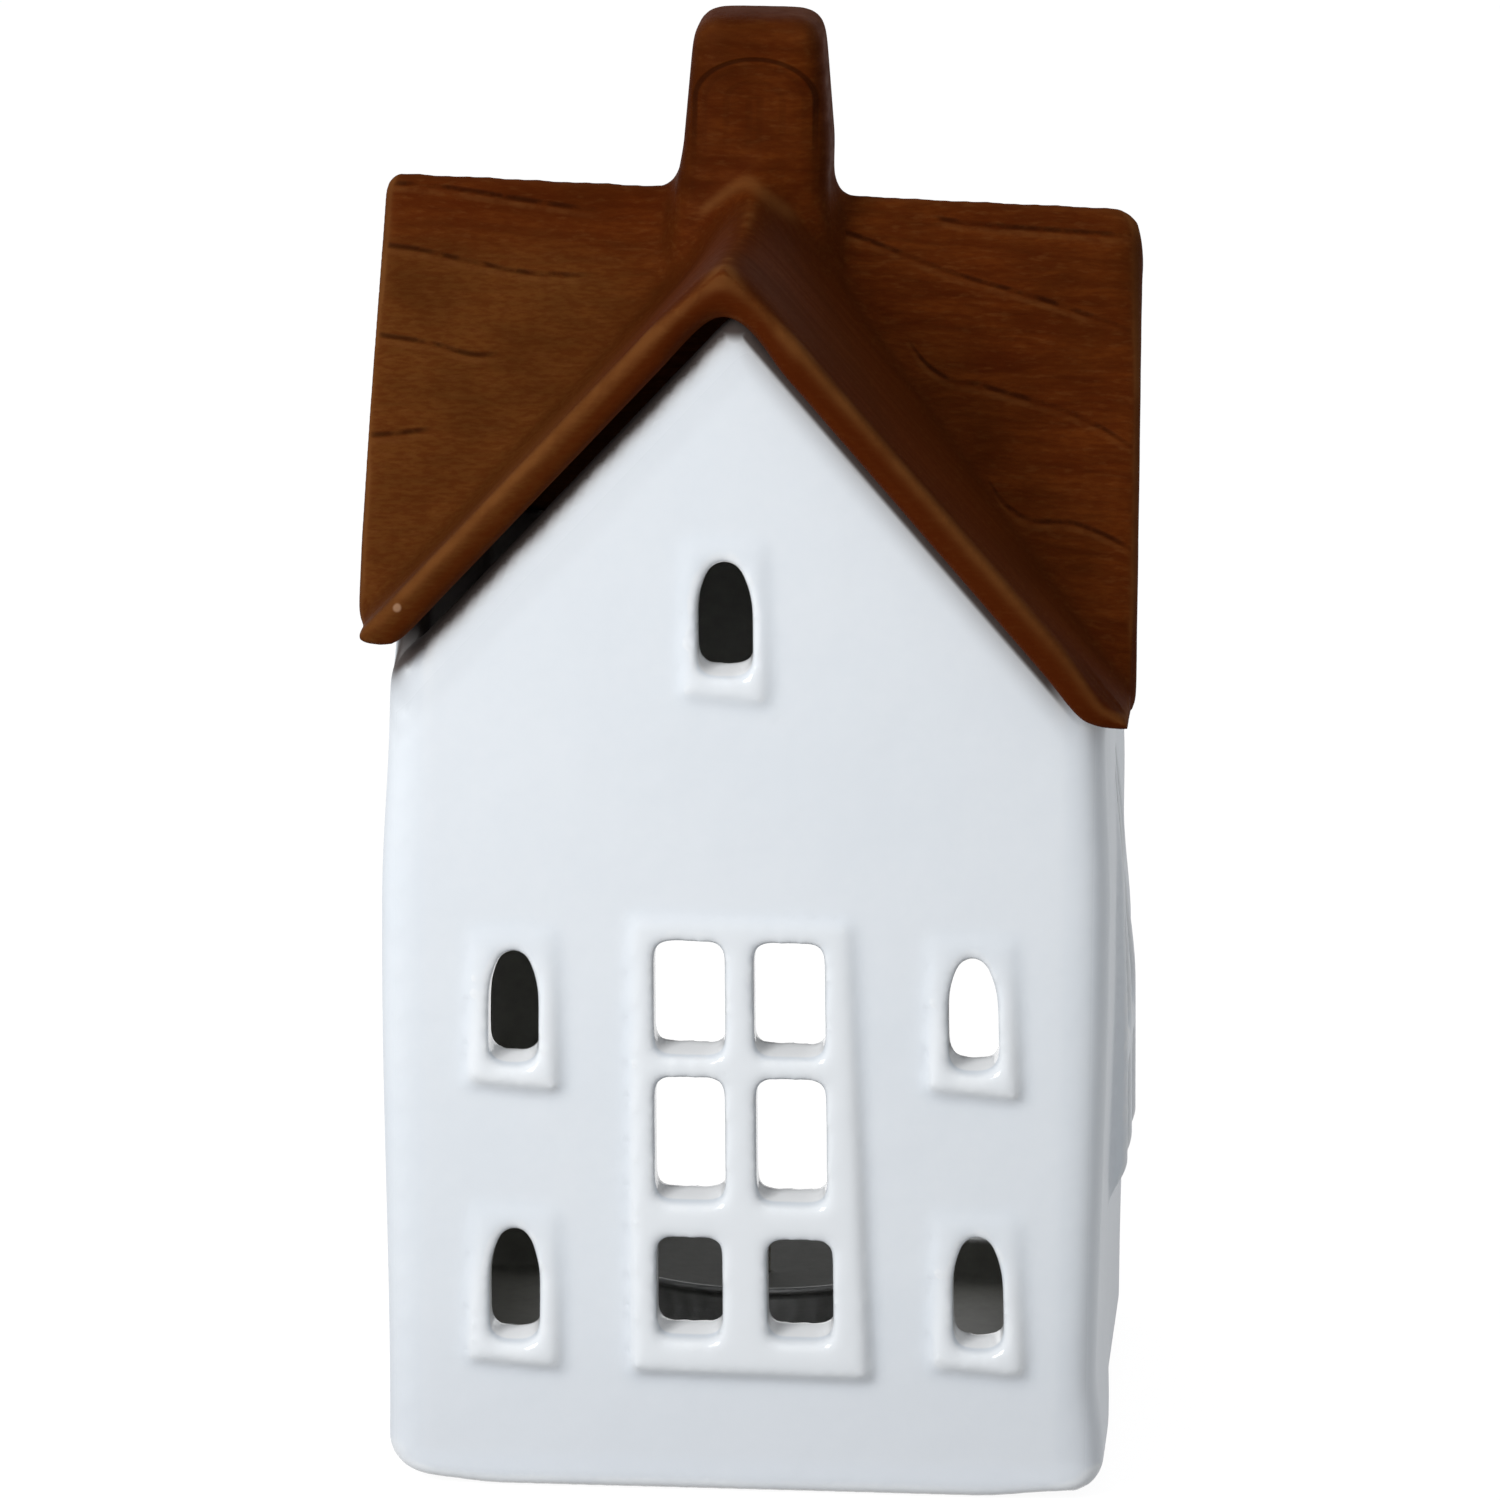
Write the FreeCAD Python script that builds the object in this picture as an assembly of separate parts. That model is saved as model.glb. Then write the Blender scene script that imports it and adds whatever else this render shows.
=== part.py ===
"""Tealight house: a glazed ceramic house with a lift-off roof lid and a tealight inside.

Units are millimetres. +Z is up and the windowed front faces -Y.
The origin is the centre of the underside, on the surface that the house stands on.
"""
import FreeCAD
import Part
import math
import os

Vector = FreeCAD.Vector
DEPTHWISE = Vector(0, 1, 0)
UPRIGHT = Vector(0, 0, 1)

# House body: a square cast shell, open at the top under the roof lid
body_width = 81.0
body_depth = 81.0
wall = 4.0
outer_corner_radius = 3.2
inner_corner_radius = 2.2
base_edge_radius = 2.0
floor_thickness = 4.5

# Roof surface, seen from the front: the hand-made gable leans a little to the right, and its
# ridge runs a little to the right on its way back
ridge_height = 145.5
gable_apex_offset = -2.2
ridge_drop_share = 0.030
left_eave_height = 98.9
right_eave_height = 91.5
back_eave_height = 96.0
roof_overhang = 4.5
side_overhang = 4.6
left_end_inset = 0.3
left_end_taper = 1.0
left_taper_depth = 25.0
right_end_taper = 3.3
eave_cut_raise = 0.8
front_ridge_skew_share = 0.045
main_roof_front_setback = 8.0
roof_rise = 6.2
roof_corner_radius = 1.8
back_lip = 3.2

# How the lid sits: it rests on the right slope and the back, and stands off the left slope
left_slope_gap = 1.7

# Chimney, cast in one with the roof lid
chimney_height = 20.2
chimney_offset = 0.7
chimney_base_width = 17.8
chimney_base_depth = 17.2
chimney_top_width = 14.6
chimney_top_depth = 14.0
chimney_flare = 1.6
chimney_corner_radius = 2.8
chimney_top_radius = 2.4
chimney_wall = 4.2

# Tall window of six panes, used on the front and, higher up, on both side walls
top_pane_width = 8.1
top_divider_width = 3.4
middle_pane_width = 8.0
middle_divider_width = 3.6
bottom_pane_width = 7.5
bottom_divider_width = 5.1
bottom_panes_offset = 0.3
bottom_pane_height = 10.5
middle_pane_height = 13.3
top_pane_height = 12.1
lower_bar_height = 5.5
upper_bar_height = 3.8
pane_corner_radius = 1.2
tall_window_sill_height = 19.9
tall_window_offset = 0.0
side_window_raise = 12.8
surround_thickness = 1.9
surround_top_thickness = 0.7
side_surround_thickness = 2.3
side_surround_top_thickness = 0.4
surround_left_margin = 3.3
surround_right_margin = 3.7
surround_top_margin = 3.2
surround_bottom_margin = 6.0
surround_edge_slope = 0.9
surround_left_flare = 0.0
surround_right_flare = 1.5
surround_bottom_fall = 0.3

# Every opening's sill falls outwards
sill_fall = 1.7

# Small arched windows in the front wall
arch_width = 5.7
arch_height = 12.0
arch_rise = 6.0
arch_corner_radius = 1.6
arch_edge_distance = 14.1
arch_offset = 0.4
low_arch_sill_height = 18.8
high_arch_sill_height = 51.6
right_arch_raise = 0.3
arch_surround_width = 11.0
arch_surround_flare = 0.2
arch_surround_fall = 0.8
arch_surround_below = 4.0
arch_surround_above = 3.0
arch_surround_thickness = 1.6
arch_surround_top_thickness = 0.3

# Gable window, just under the roof
gable_window_below_ridge = 48.2
gable_window_width = 6.4
gable_window_surround_width = 10.6
gable_window_surround_thickness = 0.9

# Every window leans a little to the left at its top, more so towards the right
window_lean_share = 0.0165
lean_level = 41.0

# Opening in the back wall, for the tealight
door_width = 57.0
door_height = 55.0
door_lip = 5.2
door_top_radius = 14.0
door_bottom_radius = 3.0

# Standard tealight
cup_radius = 19.0
cup_height = 14.0
cup_sheet = 0.35
cup_rim_width = 0.7
cup_rim_height = 0.8
wax_height = 11.0
wax_gap = 0.1
wax_dish_depth = 1.0
wax_dish_radius = 13.0
tab_radius = 6.0
tab_sheet = 0.4
tab_collar_radius = 1.5
tab_collar_height = 3.4
wick_radius = 0.8
wick_height = 18.4
wick_gap = 0.1

# Cutting tools run past the faces that they cut
overrun = 10.0
# A raised surround reaches this far into the wall that carries it
embed = 0.8

half_width = body_width / 2
half_depth = body_depth / 2
lid_half_width = half_width + side_overhang
lid_half_depth = half_depth + roof_overhang


def line_height(low_end, high_end, place):
    """Height at a place on the straight line through two (place, height) points."""
    share = (place - low_end[0]) / (high_end[0] - low_end[0])
    return low_end[1] + share * (high_end[1] - low_end[1])


def outline_prism(points, travel):
    """Solid made by moving the closed polygon through the points along the travel vector."""
    return Part.Face(Part.makePolygon(points + points[:1])).extrude(travel)


def rounded_block(low, high, radius):
    """Box between two corner points, with its four upright edges rounded."""
    size = high - low
    block = Part.makeBox(size.x, size.y, size.z, low)
    limit = min(radius, 0.45 * min(size.x, size.y))
    return block.makeFillet(limit, edges_along(block, UPRIGHT))


def is_along(edge, direction):
    """Whether a straight edge runs along the direction."""
    return isinstance(edge.Curve, Part.Line) and edge.Curve.Direction.cross(direction).Length < 1e-6


def peak(left_foot, right_foot, apex, left_drop, right_drop):
    """Where two slopes that meet at the apex would meet after each is lowered by its drop."""
    left_slope = (apex[1] - left_foot[1]) / (apex[0] - left_foot[0])
    right_slope = (right_foot[1] - apex[1]) / (right_foot[0] - apex[0])
    shift = (left_drop - right_drop) / (left_slope - right_slope)
    return apex[0] + shift, apex[1] - left_drop + left_slope * shift


def gable_points(left_foot, right_foot, apex, left_drop, right_drop):
    """Closed outline of a gable: two slopes, run out past their feet, over a flat bottom."""
    left_end = left_foot[0] - overrun
    right_end = right_foot[0] + overrun
    top = peak(left_foot, right_foot, apex, left_drop, right_drop)
    return [
        (left_end, -overrun),
        (left_end, line_height(left_foot, apex, left_end) - left_drop),
        top,
        (right_end, line_height(right_foot, apex, right_end) - right_drop),
        (right_end, -overrun),
    ]


def under_roof(drop, left_extra):
    """Everything below the roof surface, lowered by the drop and, on its front left, by more.

    A front gable crosses a main roof whose ridge runs from left to right and falls to the right.
    """
    apex = (gable_apex_offset, ridge_height)
    left_corner = (-lid_half_width, left_eave_height)
    right_corner = (lid_half_width, right_eave_height)
    front = gable_points(left_corner, right_corner, apex, drop + left_extra, drop)
    run = lid_half_depth + overrun
    start = -front_ridge_skew_share * overrun
    front_gable = outline_prism([Vector(x + start, -run, z) for x, z in front],
                                Vector(front_ridge_skew_share * run, run, 0))

    left_half = main_roof_half(-1, left_eave_height, drop, left_extra)
    right_half = main_roof_half(1, right_eave_height, drop, 0)
    return front_gable.fuse([left_half, right_half]).removeSplitter()


def main_roof_half(side, front_eave, drop, front_extra):
    """Half of the main roof's underside volume, from its ridge end to the front gable's apex."""
    end = side * lid_half_width
    reach = end - gable_apex_offset
    ridge_end = ridge_height - ridge_drop_share * reach
    back_foot = (lid_half_depth, back_eave_height - ridge_drop_share * reach)
    front_foot = (main_roof_front_setback - lid_half_depth, front_eave)
    points = gable_points(front_foot, back_foot, (0, ridge_end), drop + front_extra, drop)
    far = end + side * overrun
    fall = ridge_drop_share * (far - end)
    travel = Vector(gable_apex_offset - far, 0, ridge_drop_share * (far - gable_apex_offset))
    return outline_prism([Vector(far, y, z - fall) for y, z in points], travel)


def leaned(x, z):
    """A point of a window's outline, moved sideways by the windows' common lean."""
    return x - window_lean_share * (1 + x / half_width) * (z - lean_level), z


def wall_outline(points, y):
    """Points of a window's outline on the plane at depth y, with the lean."""
    return [Vector(x, y, z) for x, z in (leaned(*point) for point in points)]


def rectangle(left, right, bottom, top):
    """Corner points of an upright rectangle."""
    return [(left, bottom), (right, bottom), (right, top), (left, top)]


def edges_along(shape, direction):
    """Straight edges of a shape that run along the direction."""
    return [edge for edge in shape.Edges if is_along(edge, direction)]


def polygon(points):
    """Closed wire through the points."""
    return Part.makePolygon(points + points[:1])


def sill_hole(outline, sill, corner_radius, highest_corner):
    """Hole through a wall whose front face is the plane y = 0, above a sill that falls outwards.

    The outline is a closed wire on the plane y = -overrun that reaches below the sill. The corners
    up to the highest one are rounded.
    """
    fall_share = sill_fall / (wall + surround_thickness)
    above_sill = outline_prism([
        Vector(-half_width, -overrun, sill - fall_share * (wall + overrun)),
        Vector(-half_width, overrun, sill + fall_share * (overrun - wall)),
        Vector(-half_width, overrun, ridge_height),
        Vector(-half_width, -overrun, ridge_height),
    ], Vector(2 * half_width, 0, 0))
    hole = Part.Face(outline).extrude(Vector(0, 2 * overrun, 0)).common(above_sill)
    corners = [edge for edge in hole.Edges
               if edge.BoundBox.YLength > wall and edge.CenterOfMass.z < highest_corner]
    return hole.makeFillet(corner_radius, corners)


def pane_cut(left, bottom, width, height):
    """Hole for one rectangular pane."""
    sides = rectangle(left, left + width, bottom - overrun, bottom + height)
    outline = polygon(wall_outline(sides, -overrun))
    radius = min(pane_corner_radius, 0.45 * min(width, height))
    return sill_hole(outline, bottom, radius, bottom + height + overrun)


def arch_cut(centre, bottom, width):
    """Hole for one arched window: its sides draw in on the way up to a round top."""
    half = width / 2
    spring = bottom + arch_height - arch_rise

    def place(degrees):
        """Point (x, z) on the oval that the arch's curves follow, from its right end at 0."""
        turn = math.radians(degrees)
        return centre + half * math.cos(turn), spring + arch_rise * math.sin(turn)

    low = [(centre - half, bottom - overrun), (centre + half, bottom - overrun)]
    oval = [place(degrees) for degrees in (0, 22.5, 45, 90, 135, 157.5, 180)]
    low_left, low_right, *curve = wall_outline(low + oval, -overrun)
    outline = Part.Wire([
        Part.LineSegment(low_left, low_right).toShape(),
        Part.LineSegment(low_right, curve[0]).toShape(),
        Part.Arc(*curve[0:3]).toShape(),
        Part.Arc(*curve[2:5]).toShape(),
        Part.Arc(*curve[4:7]).toShape(),
        Part.LineSegment(curve[6], low_left).toShape(),
    ])
    return sill_hole(outline, bottom, min(arch_corner_radius, 0.45 * width), bottom + arch_rise / 2)


def surround(sides, levels, thicknesses, flares, fall):
    """Raised plate around a window, with sloping edges, thickest and widest at its sill.

    The sides, flares and thicknesses are (left, right), (left, right) and (bottom, top).
    """
    left, right = sides
    bottom, top = levels
    left_flare, right_flare = flares

    def outline(inset):
        return wall_outline([
            (left + inset - left_flare, bottom + inset),
            (right - inset + right_flare, bottom + inset - fall),
            (right - inset, top - inset),
            (left + inset, top - inset),
        ], embed)
    face = outline(surround_edge_slope)
    for point in face:
        point.y = -line_height((bottom, thicknesses[0]), (top, thicknesses[1]), point.z)
    return Part.makeLoft([polygon(outline(0)), polygon(face)], True, True)


def tall_window(sill, thicknesses):
    """Surround and pane holes of a six-pane window, on a wall whose face is the plane y = 0."""
    middle_row = sill + bottom_pane_height + lower_bar_height
    upper_row = middle_row + middle_pane_height + upper_bar_height
    centre = tall_window_offset
    rows = [
        (sill, bottom_pane_height, bottom_pane_width, bottom_divider_width, centre + bottom_panes_offset),
        (middle_row, middle_pane_height, middle_pane_width, middle_divider_width, centre),
        (upper_row, top_pane_height, top_pane_width, top_divider_width, centre),
    ]
    holes = []
    for bottom, height, width, divider, middle in rows:
        for left in (middle - divider / 2 - width, middle + divider / 2):
            holes.append(pane_cut(left, bottom, width, height))
    reach = top_divider_width / 2 + top_pane_width
    plate = surround(
        (centre - reach - surround_left_margin, centre + reach + surround_right_margin),
        (sill - surround_bottom_margin, upper_row + top_pane_height + surround_top_margin),
        thicknesses,
        (surround_left_flare, surround_right_flare),
        surround_bottom_fall,
    )
    return plate, holes


def arched_window(centre, sill, width, plate_width, thickness):
    """Surround and hole of an arched window, on a wall whose face is the plane y = 0."""
    plate = surround(
        (centre - plate_width / 2, centre + plate_width / 2),
        (sill - arch_surround_below, sill + arch_height + arch_surround_above),
        (thickness, arch_surround_top_thickness),
        (arch_surround_flare, arch_surround_flare),
        arch_surround_fall,
    )
    return plate, [arch_cut(centre, sill, width)]


def placed(shape, turn, move):
    """Copy of a shape, turned about the vertical axis and then moved."""
    copy = shape.copy()
    copy.rotate(Vector(0, 0, 0), UPRIGHT, turn)
    copy.translate(move)
    return copy


def all_windows():
    """Surrounds and holes of every window, on their walls."""
    front = [tall_window(tall_window_sill_height, (surround_thickness, surround_top_thickness))]
    for sill in (low_arch_sill_height, high_arch_sill_height):
        for side, shift in ((-1, 0), (1, right_arch_raise)):
            centre = arch_offset + side * (half_width - arch_edge_distance)
            front.append(arched_window(centre, sill + shift, arch_width, arch_surround_width,
                                       arch_surround_thickness))
    gable_sill = ridge_height - gable_window_below_ridge
    lean_back = window_lean_share * (gable_sill - lean_level)
    front.append(arched_window(gable_apex_offset + lean_back, gable_sill, gable_window_width,
                               gable_window_surround_width, gable_window_surround_thickness))
    side_window = tall_window(tall_window_sill_height + side_window_raise,
                              (side_surround_thickness, side_surround_top_thickness))
    walls = [(window, 0, Vector(0, -half_depth, 0)) for window in front]
    walls.append((side_window, 90, Vector(half_width, 0, 0)))
    walls.append((side_window, -90, Vector(-half_width, 0, 0)))
    plates = [placed(plate, turn, move) for (plate, holes), turn, move in walls]
    cuts = [placed(hole, turn, move) for (plate, holes), turn, move in walls for hole in holes]
    return plates, cuts


def door_cut():
    """Opening in the back wall above a low lip, with large rounded top corners."""
    sill = floor_thickness + door_lip
    low = Vector(-door_width / 2, half_depth - wall - overrun, sill)
    block = Part.makeBox(door_width, wall + 2 * overrun, door_height, low)
    middle = sill + door_height / 2
    widest = 0.45 * min(door_width, door_height)
    upper = [edge for edge in edges_along(block, DEPTHWISE) if edge.CenterOfMass.z > middle]
    block = block.makeFillet(min(door_top_radius, widest), upper)
    lower = [edge for edge in edges_along(block, DEPTHWISE) if edge.CenterOfMass.z < sill + embed]
    return block.makeFillet(min(door_bottom_radius, widest), lower)


def house_body():
    """Cast shell with gabled walls, windows and the back opening, open at the top."""
    height = ridge_height + overrun
    outer = rounded_block(Vector(-half_width, -half_depth, 0), Vector(half_width, half_depth, height),
                          outer_corner_radius)
    bottom = [edge for edge in outer.Edges if edge.BoundBox.ZMax < base_edge_radius]
    outer = outer.makeFillet(min(base_edge_radius, 0.9 * outer_corner_radius), bottom)
    inside_x = half_width - wall
    inside_y = half_depth - wall
    chamber = rounded_block(Vector(-inside_x, -inside_y, floor_thickness),
                            Vector(inside_x, inside_y, height + overrun), inner_corner_radius)
    plates, cuts = all_windows()
    shell = outer.common(under_roof(roof_rise, left_slope_gap))
    shell = shell.fuse(plates)
    return shell.cut([chamber, door_cut()] + cuts)


def chimney_section(width, depth, z):
    """Closed rectangle of the chimney at height z."""
    centre = gable_apex_offset + chimney_offset
    corners = rectangle(centre - width / 2, centre + width / 2, -depth / 2, depth / 2)
    return polygon([Vector(x, y, z) for x, y in corners])


def chimney():
    """Tapered chimney with rounded corners, wider where it leaves the roof."""
    top = ridge_height + chimney_height
    foot = ridge_height - chimney_base_depth / 2 - roof_rise / 2
    stack = Part.makeLoft([
        chimney_section(chimney_base_width + 2 * chimney_flare, chimney_base_depth + 2 * chimney_flare, foot),
        chimney_section(chimney_base_width, chimney_base_depth, ridge_height),
        chimney_section(chimney_top_width, chimney_top_depth, top),
    ], True, True)
    sides = [edge for edge in stack.Edges if edge.BoundBox.ZLength > chimney_height / 4]
    stack = stack.makeFillet(min(chimney_corner_radius, 0.3 * chimney_top_depth), sides)
    rim = [edge for edge in stack.Edges if edge.BoundBox.ZMin > top - chimney_height / 4]
    return stack.makeFillet(min(chimney_top_radius, 0.8 * chimney_corner_radius), rim)


def flue():
    """Hollow of the chimney, which follows its outside at the wall's distance."""
    top = ridge_height + chimney_height - chimney_wall
    foot = ridge_height - roof_rise - chimney_base_depth / 2
    return Part.makeLoft([
        chimney_section(chimney_base_width - 2 * chimney_wall, chimney_base_depth - 2 * chimney_wall, foot),
        chimney_section(chimney_top_width - 2 * chimney_wall, chimney_top_depth - 2 * chimney_wall, top),
    ], True, True)


def lid_plan():
    """Upright prism of the lid's outline from above: its left end is straight but for a taper at
    the front, and its right end draws in towards the back.
    """
    left_end = left_end_inset - lid_half_width
    corners = [
        Vector(left_end + left_end_taper, -lid_half_depth, 0),
        Vector(lid_half_width, -lid_half_depth, 0),
        Vector(lid_half_width - right_end_taper, lid_half_depth, 0),
        Vector(left_end, lid_half_depth, 0),
        Vector(left_end, left_taper_depth - lid_half_depth, 0),
    ]
    plan = outline_prism(corners, Vector(0, 0, ridge_height + overrun))
    return plan.makeFillet(min(roof_corner_radius, 0.3 * roof_rise), edges_along(plan, UPRIGHT))


def above_eaves(front_heights, depth):
    """Everything above a sideways line between two (place, height) ends, over a depth."""
    ends = (-lid_half_width - overrun, lid_half_width + overrun)
    low = [(x, line_height(*front_heights, x)) for x in ends]
    top = ridge_height + chimney_height
    points = low + [(ends[1], top), (ends[0], top)]
    return outline_prism([Vector(x, 0, z) for x, z in points], Vector(0, depth, 0))


def roof_lid():
    """Crossed-gable lid with its chimney, open below, with its eave corners cut level."""
    run = lid_half_depth + overrun
    front = above_eaves([
        (-lid_half_width, left_eave_height + eave_cut_raise),
        (lid_half_width, right_eave_height + eave_cut_raise),
    ], -run)
    lip = back_eave_height - back_lip
    fall = ridge_drop_share * lid_half_width
    back = above_eaves([(gable_apex_offset, lip), (gable_apex_offset + lid_half_width, lip - fall)], run)
    skin = lid_plan().common(front.fuse(back)).common(under_roof(0, 0)).fuse(chimney())
    return skin.cut([under_roof(roof_rise, 0), flue()])


def disc(radius, height, z):
    """Upright cylinder on the house's axis, standing at height z."""
    return Part.makeCylinder(radius, height, Vector(0, 0, z))


def tealight_cup():
    """Pressed cup with a rolled rim."""
    cup = disc(cup_radius, cup_height, floor_thickness)
    rim_level = floor_thickness + cup_height - cup_rim_height
    rim = disc(cup_radius + cup_rim_width, cup_rim_height, rim_level)
    rim = rim.makeFillet(0.45 * cup_rim_height, [edge for edge in rim.Edges if edge.Closed])
    inside = disc(cup_radius - cup_sheet, cup_height, floor_thickness + cup_sheet)
    return cup.fuse(rim).cut(inside)


def tealight_wax():
    """Wax fill with a shallow dish on top, around the wick and its tab."""
    base = floor_thickness + cup_sheet
    radius = cup_radius - cup_sheet - wax_gap
    wax = disc(radius, wax_height, base)
    dish = Part.makeCone(wax_dish_radius / 2, wax_dish_radius, wax_dish_depth,
                         Vector(0, 0, base + wax_height - wax_dish_depth))
    tab_pocket = disc(tab_radius + wick_gap, tab_sheet + wick_gap, base)
    collar_pocket = disc(tab_collar_radius + wick_gap, tab_collar_height + wick_gap, base)
    wick_hole = disc(wick_radius + wick_gap, wax_height, base)
    return wax.cut([dish, tab_pocket, collar_pocket, wick_hole])


def wick_tab():
    """Round tab with a collar that holds the wick upright."""
    base = floor_thickness + cup_sheet
    tab = disc(tab_radius, tab_sheet, base).fuse(disc(tab_collar_radius, tab_collar_height, base))
    return tab.cut(disc(wick_radius + wick_gap, tab_collar_height, base + tab_sheet))


def wick():
    """Straight wick, from the tab to above the wax."""
    base = cup_sheet + tab_sheet
    return disc(wick_radius, wick_height - base, floor_thickness + base)


def main():
    os.makedirs("parts", exist_ok=True)
    pieces = {
        "house_body": house_body(),
        "roof_lid": roof_lid(),
        "tealight_cup": tealight_cup(),
        "tealight_wax": tealight_wax(),
        "wick_tab": wick_tab(),
        "wick": wick(),
    }
    for name, shape in pieces.items():
        solids = shape.Solids
        print(name, len(solids), "solid", shape.isValid(), round(shape.Volume, 1), shape.BoundBox)
        solids[0].exportStep(os.path.join("parts", name + ".step"))


main()
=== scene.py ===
"""Tealight house: a glazed ceramic house, its wood-look roof lid and the tealight inside.

Everything is in metres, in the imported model's own axes: +Z is up and the windowed front faces -Y.
The tealight's profiles and the places of all marks in the glazes are in millimetres.
"""

import math

import bmesh
import bpy
import numpy as np
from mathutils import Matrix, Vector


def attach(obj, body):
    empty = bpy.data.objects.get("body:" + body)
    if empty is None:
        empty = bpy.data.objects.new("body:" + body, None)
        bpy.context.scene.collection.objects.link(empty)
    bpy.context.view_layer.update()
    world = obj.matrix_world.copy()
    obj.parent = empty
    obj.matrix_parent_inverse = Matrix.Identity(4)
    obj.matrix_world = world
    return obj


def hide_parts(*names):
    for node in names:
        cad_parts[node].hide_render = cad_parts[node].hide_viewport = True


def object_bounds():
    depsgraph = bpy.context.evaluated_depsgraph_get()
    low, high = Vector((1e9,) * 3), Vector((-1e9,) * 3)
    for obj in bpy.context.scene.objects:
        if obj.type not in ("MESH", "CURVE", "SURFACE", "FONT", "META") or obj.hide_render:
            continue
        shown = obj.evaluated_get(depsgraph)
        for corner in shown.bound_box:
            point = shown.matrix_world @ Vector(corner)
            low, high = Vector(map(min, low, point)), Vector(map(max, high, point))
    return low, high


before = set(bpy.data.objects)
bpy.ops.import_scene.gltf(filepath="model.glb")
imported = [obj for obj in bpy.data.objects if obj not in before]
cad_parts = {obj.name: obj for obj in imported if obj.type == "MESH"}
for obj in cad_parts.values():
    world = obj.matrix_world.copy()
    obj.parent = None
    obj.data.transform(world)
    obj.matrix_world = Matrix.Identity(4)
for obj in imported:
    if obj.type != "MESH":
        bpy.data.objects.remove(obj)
CAD_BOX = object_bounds()

MM = 0.001

# House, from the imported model
HALF_WIDTH = 40.5 * MM
WALL = 4.0 * MM
FLOOR_LEVEL = 4.5 * MM
HALF_DEPTH = 45.0 * MM
RIDGE_HEIGHT = 145.5 * MM
RIDGE_SKEW = 0.045
GABLE_APEX_X = -2.2 * MM

# Tealight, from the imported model, in millimetres: radii, and heights above the floor
CUP_RADIUS = 19.0
CUP_HEIGHT = 14.0
CUP_SHEET = 0.35
CUP_FLUTES = 48
CUP_FLUTE_DEPTH = 0.1
WAX_RADIUS = 18.55
WAX_TOP = 11.35
WAX_DISH_RADIUS = 13.0
TAB_RADIUS = 6.0
TAB_SHEET = 0.4
TAB_COLLAR_RADIUS = 1.5
TAB_TOP = 3.75
WICK_RADIUS = 0.8
WICK_TOP = 18.4
WICK_GAP = 0.1
WICK_TWIST = 2.2
WICK_STRAND_DEPTH = 0.2

# House and roof shell, remeshed from the CAD solids so that every edge is soft like cast glaze.
# The grid of cells stands askew, so that no flat face lines up with it.
SHELL_VOXEL = 0.5 * MM
GRID_TURN = Matrix.Rotation(0.53, 4, Vector((0.3, 0.5, 0.8)).normalized())
SHELL_TRIANGLES = 190000
CAD_MERGE = 0.002 * MM
TURNED_MERGE = 0.001 * MM
SMOOTHING_PULL = 0.5
BODY_SMOOTHING_STEPS = 13
ROOF_SMOOTHING_STEPS = 45
BODY_BEND_STEPS = 3
ROOF_BEND_STEPS = 16
UPPER_FACING = (-0.05, 0.4)

# A ramp is a pair: where a share starts and where it is full. A ramp of four numbers ends with
# the share's values at those two places.

# Body's small departures from a straight box, as cast by hand
BELLY = 0.9 * MM
BELLY_LOW_Z = (8 * MM, 62 * MM)
BELLY_HIGH_Z = (68 * MM, 92 * MM)
EDGE_REGAIN = 0.2 * MM
SIDE_WALL_X = (0.8 * HALF_WIDTH, HALF_WIDTH)
EAVE_SMOOTHING_STEPS = 50
EAVE_Z = (90 * MM, 96 * MM)
EAVE_X = (8 * MM, 12 * MM)
EAVE_APEX_Z = (114 * MM, 118 * MM)
POST_SMOOTHING_STEPS = 45
POST_EDGE = (34.5 * MM, 37.5 * MM)
POST_Z = (1 * MM, 6 * MM)
POST_LIMIT_X = 41 * MM
SIDE_PLATE_TOP_Z = (84 * MM, 66 * MM)
SIDE_PLATE_FOOT_Z = (27 * MM, 33 * MM)
FOOT_HEIGHT = 5.0 * MM
FOOT_DRAW = 2.6 * MM
FOOT_SPREAD = 1.0 * MM
FOOT_SPREAD_LOW_Z = (0, 3.5 * MM)
FOOT_SPREAD_HIGH_Z = (3 * FOOT_HEIGHT, FOOT_HEIGHT)
FOOT_SPREAD_Y = (8 * MM, -24 * MM)
FOOT_FORWARD = 0.9 * MM
FOOT_FORWARD_Y = (-0.85 * HALF_WIDTH, -0.97 * HALF_WIDTH)
FOOT_FORWARD_Z = (0, 1.5 * MM)
FOOT_SOLE = 0.8 * MM
FOOT_LIFT = 0.85 * MM
FOOT_LIFT_X = (0.67 * HALF_WIDTH, 0.94 * HALF_WIDTH)
BACK_DRAW = 1.15 * MM
BACK_DRAW_Z = (49 * MM, 64 * MM)
BACK_DRAW_Y = (-25 * MM, 20 * MM)

# Lid's front ridge: broad, and smooth down to the filled valleys beside it
RIDGE_SMOOTHING_STEPS = 190
RIDGE_BLEND = 9.0 * MM
FRONT_RIDGE_ASIDE = (RIDGE_BLEND, 0.3 * RIDGE_BLEND)
FRONT_RIDGE_LOW_Z = (RIDGE_HEIGHT - 1.6 * RIDGE_BLEND, RIDGE_HEIGHT - RIDGE_BLEND)
FRONT_RIDGE_HIGH_Z = (153 * MM, 148 * MM)
FRONT_RIDGE_Y = (-8.5 * MM, -11 * MM)
VALLEY_FILLING_STEPS = 60
VALLEY_FACING = 4

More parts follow.
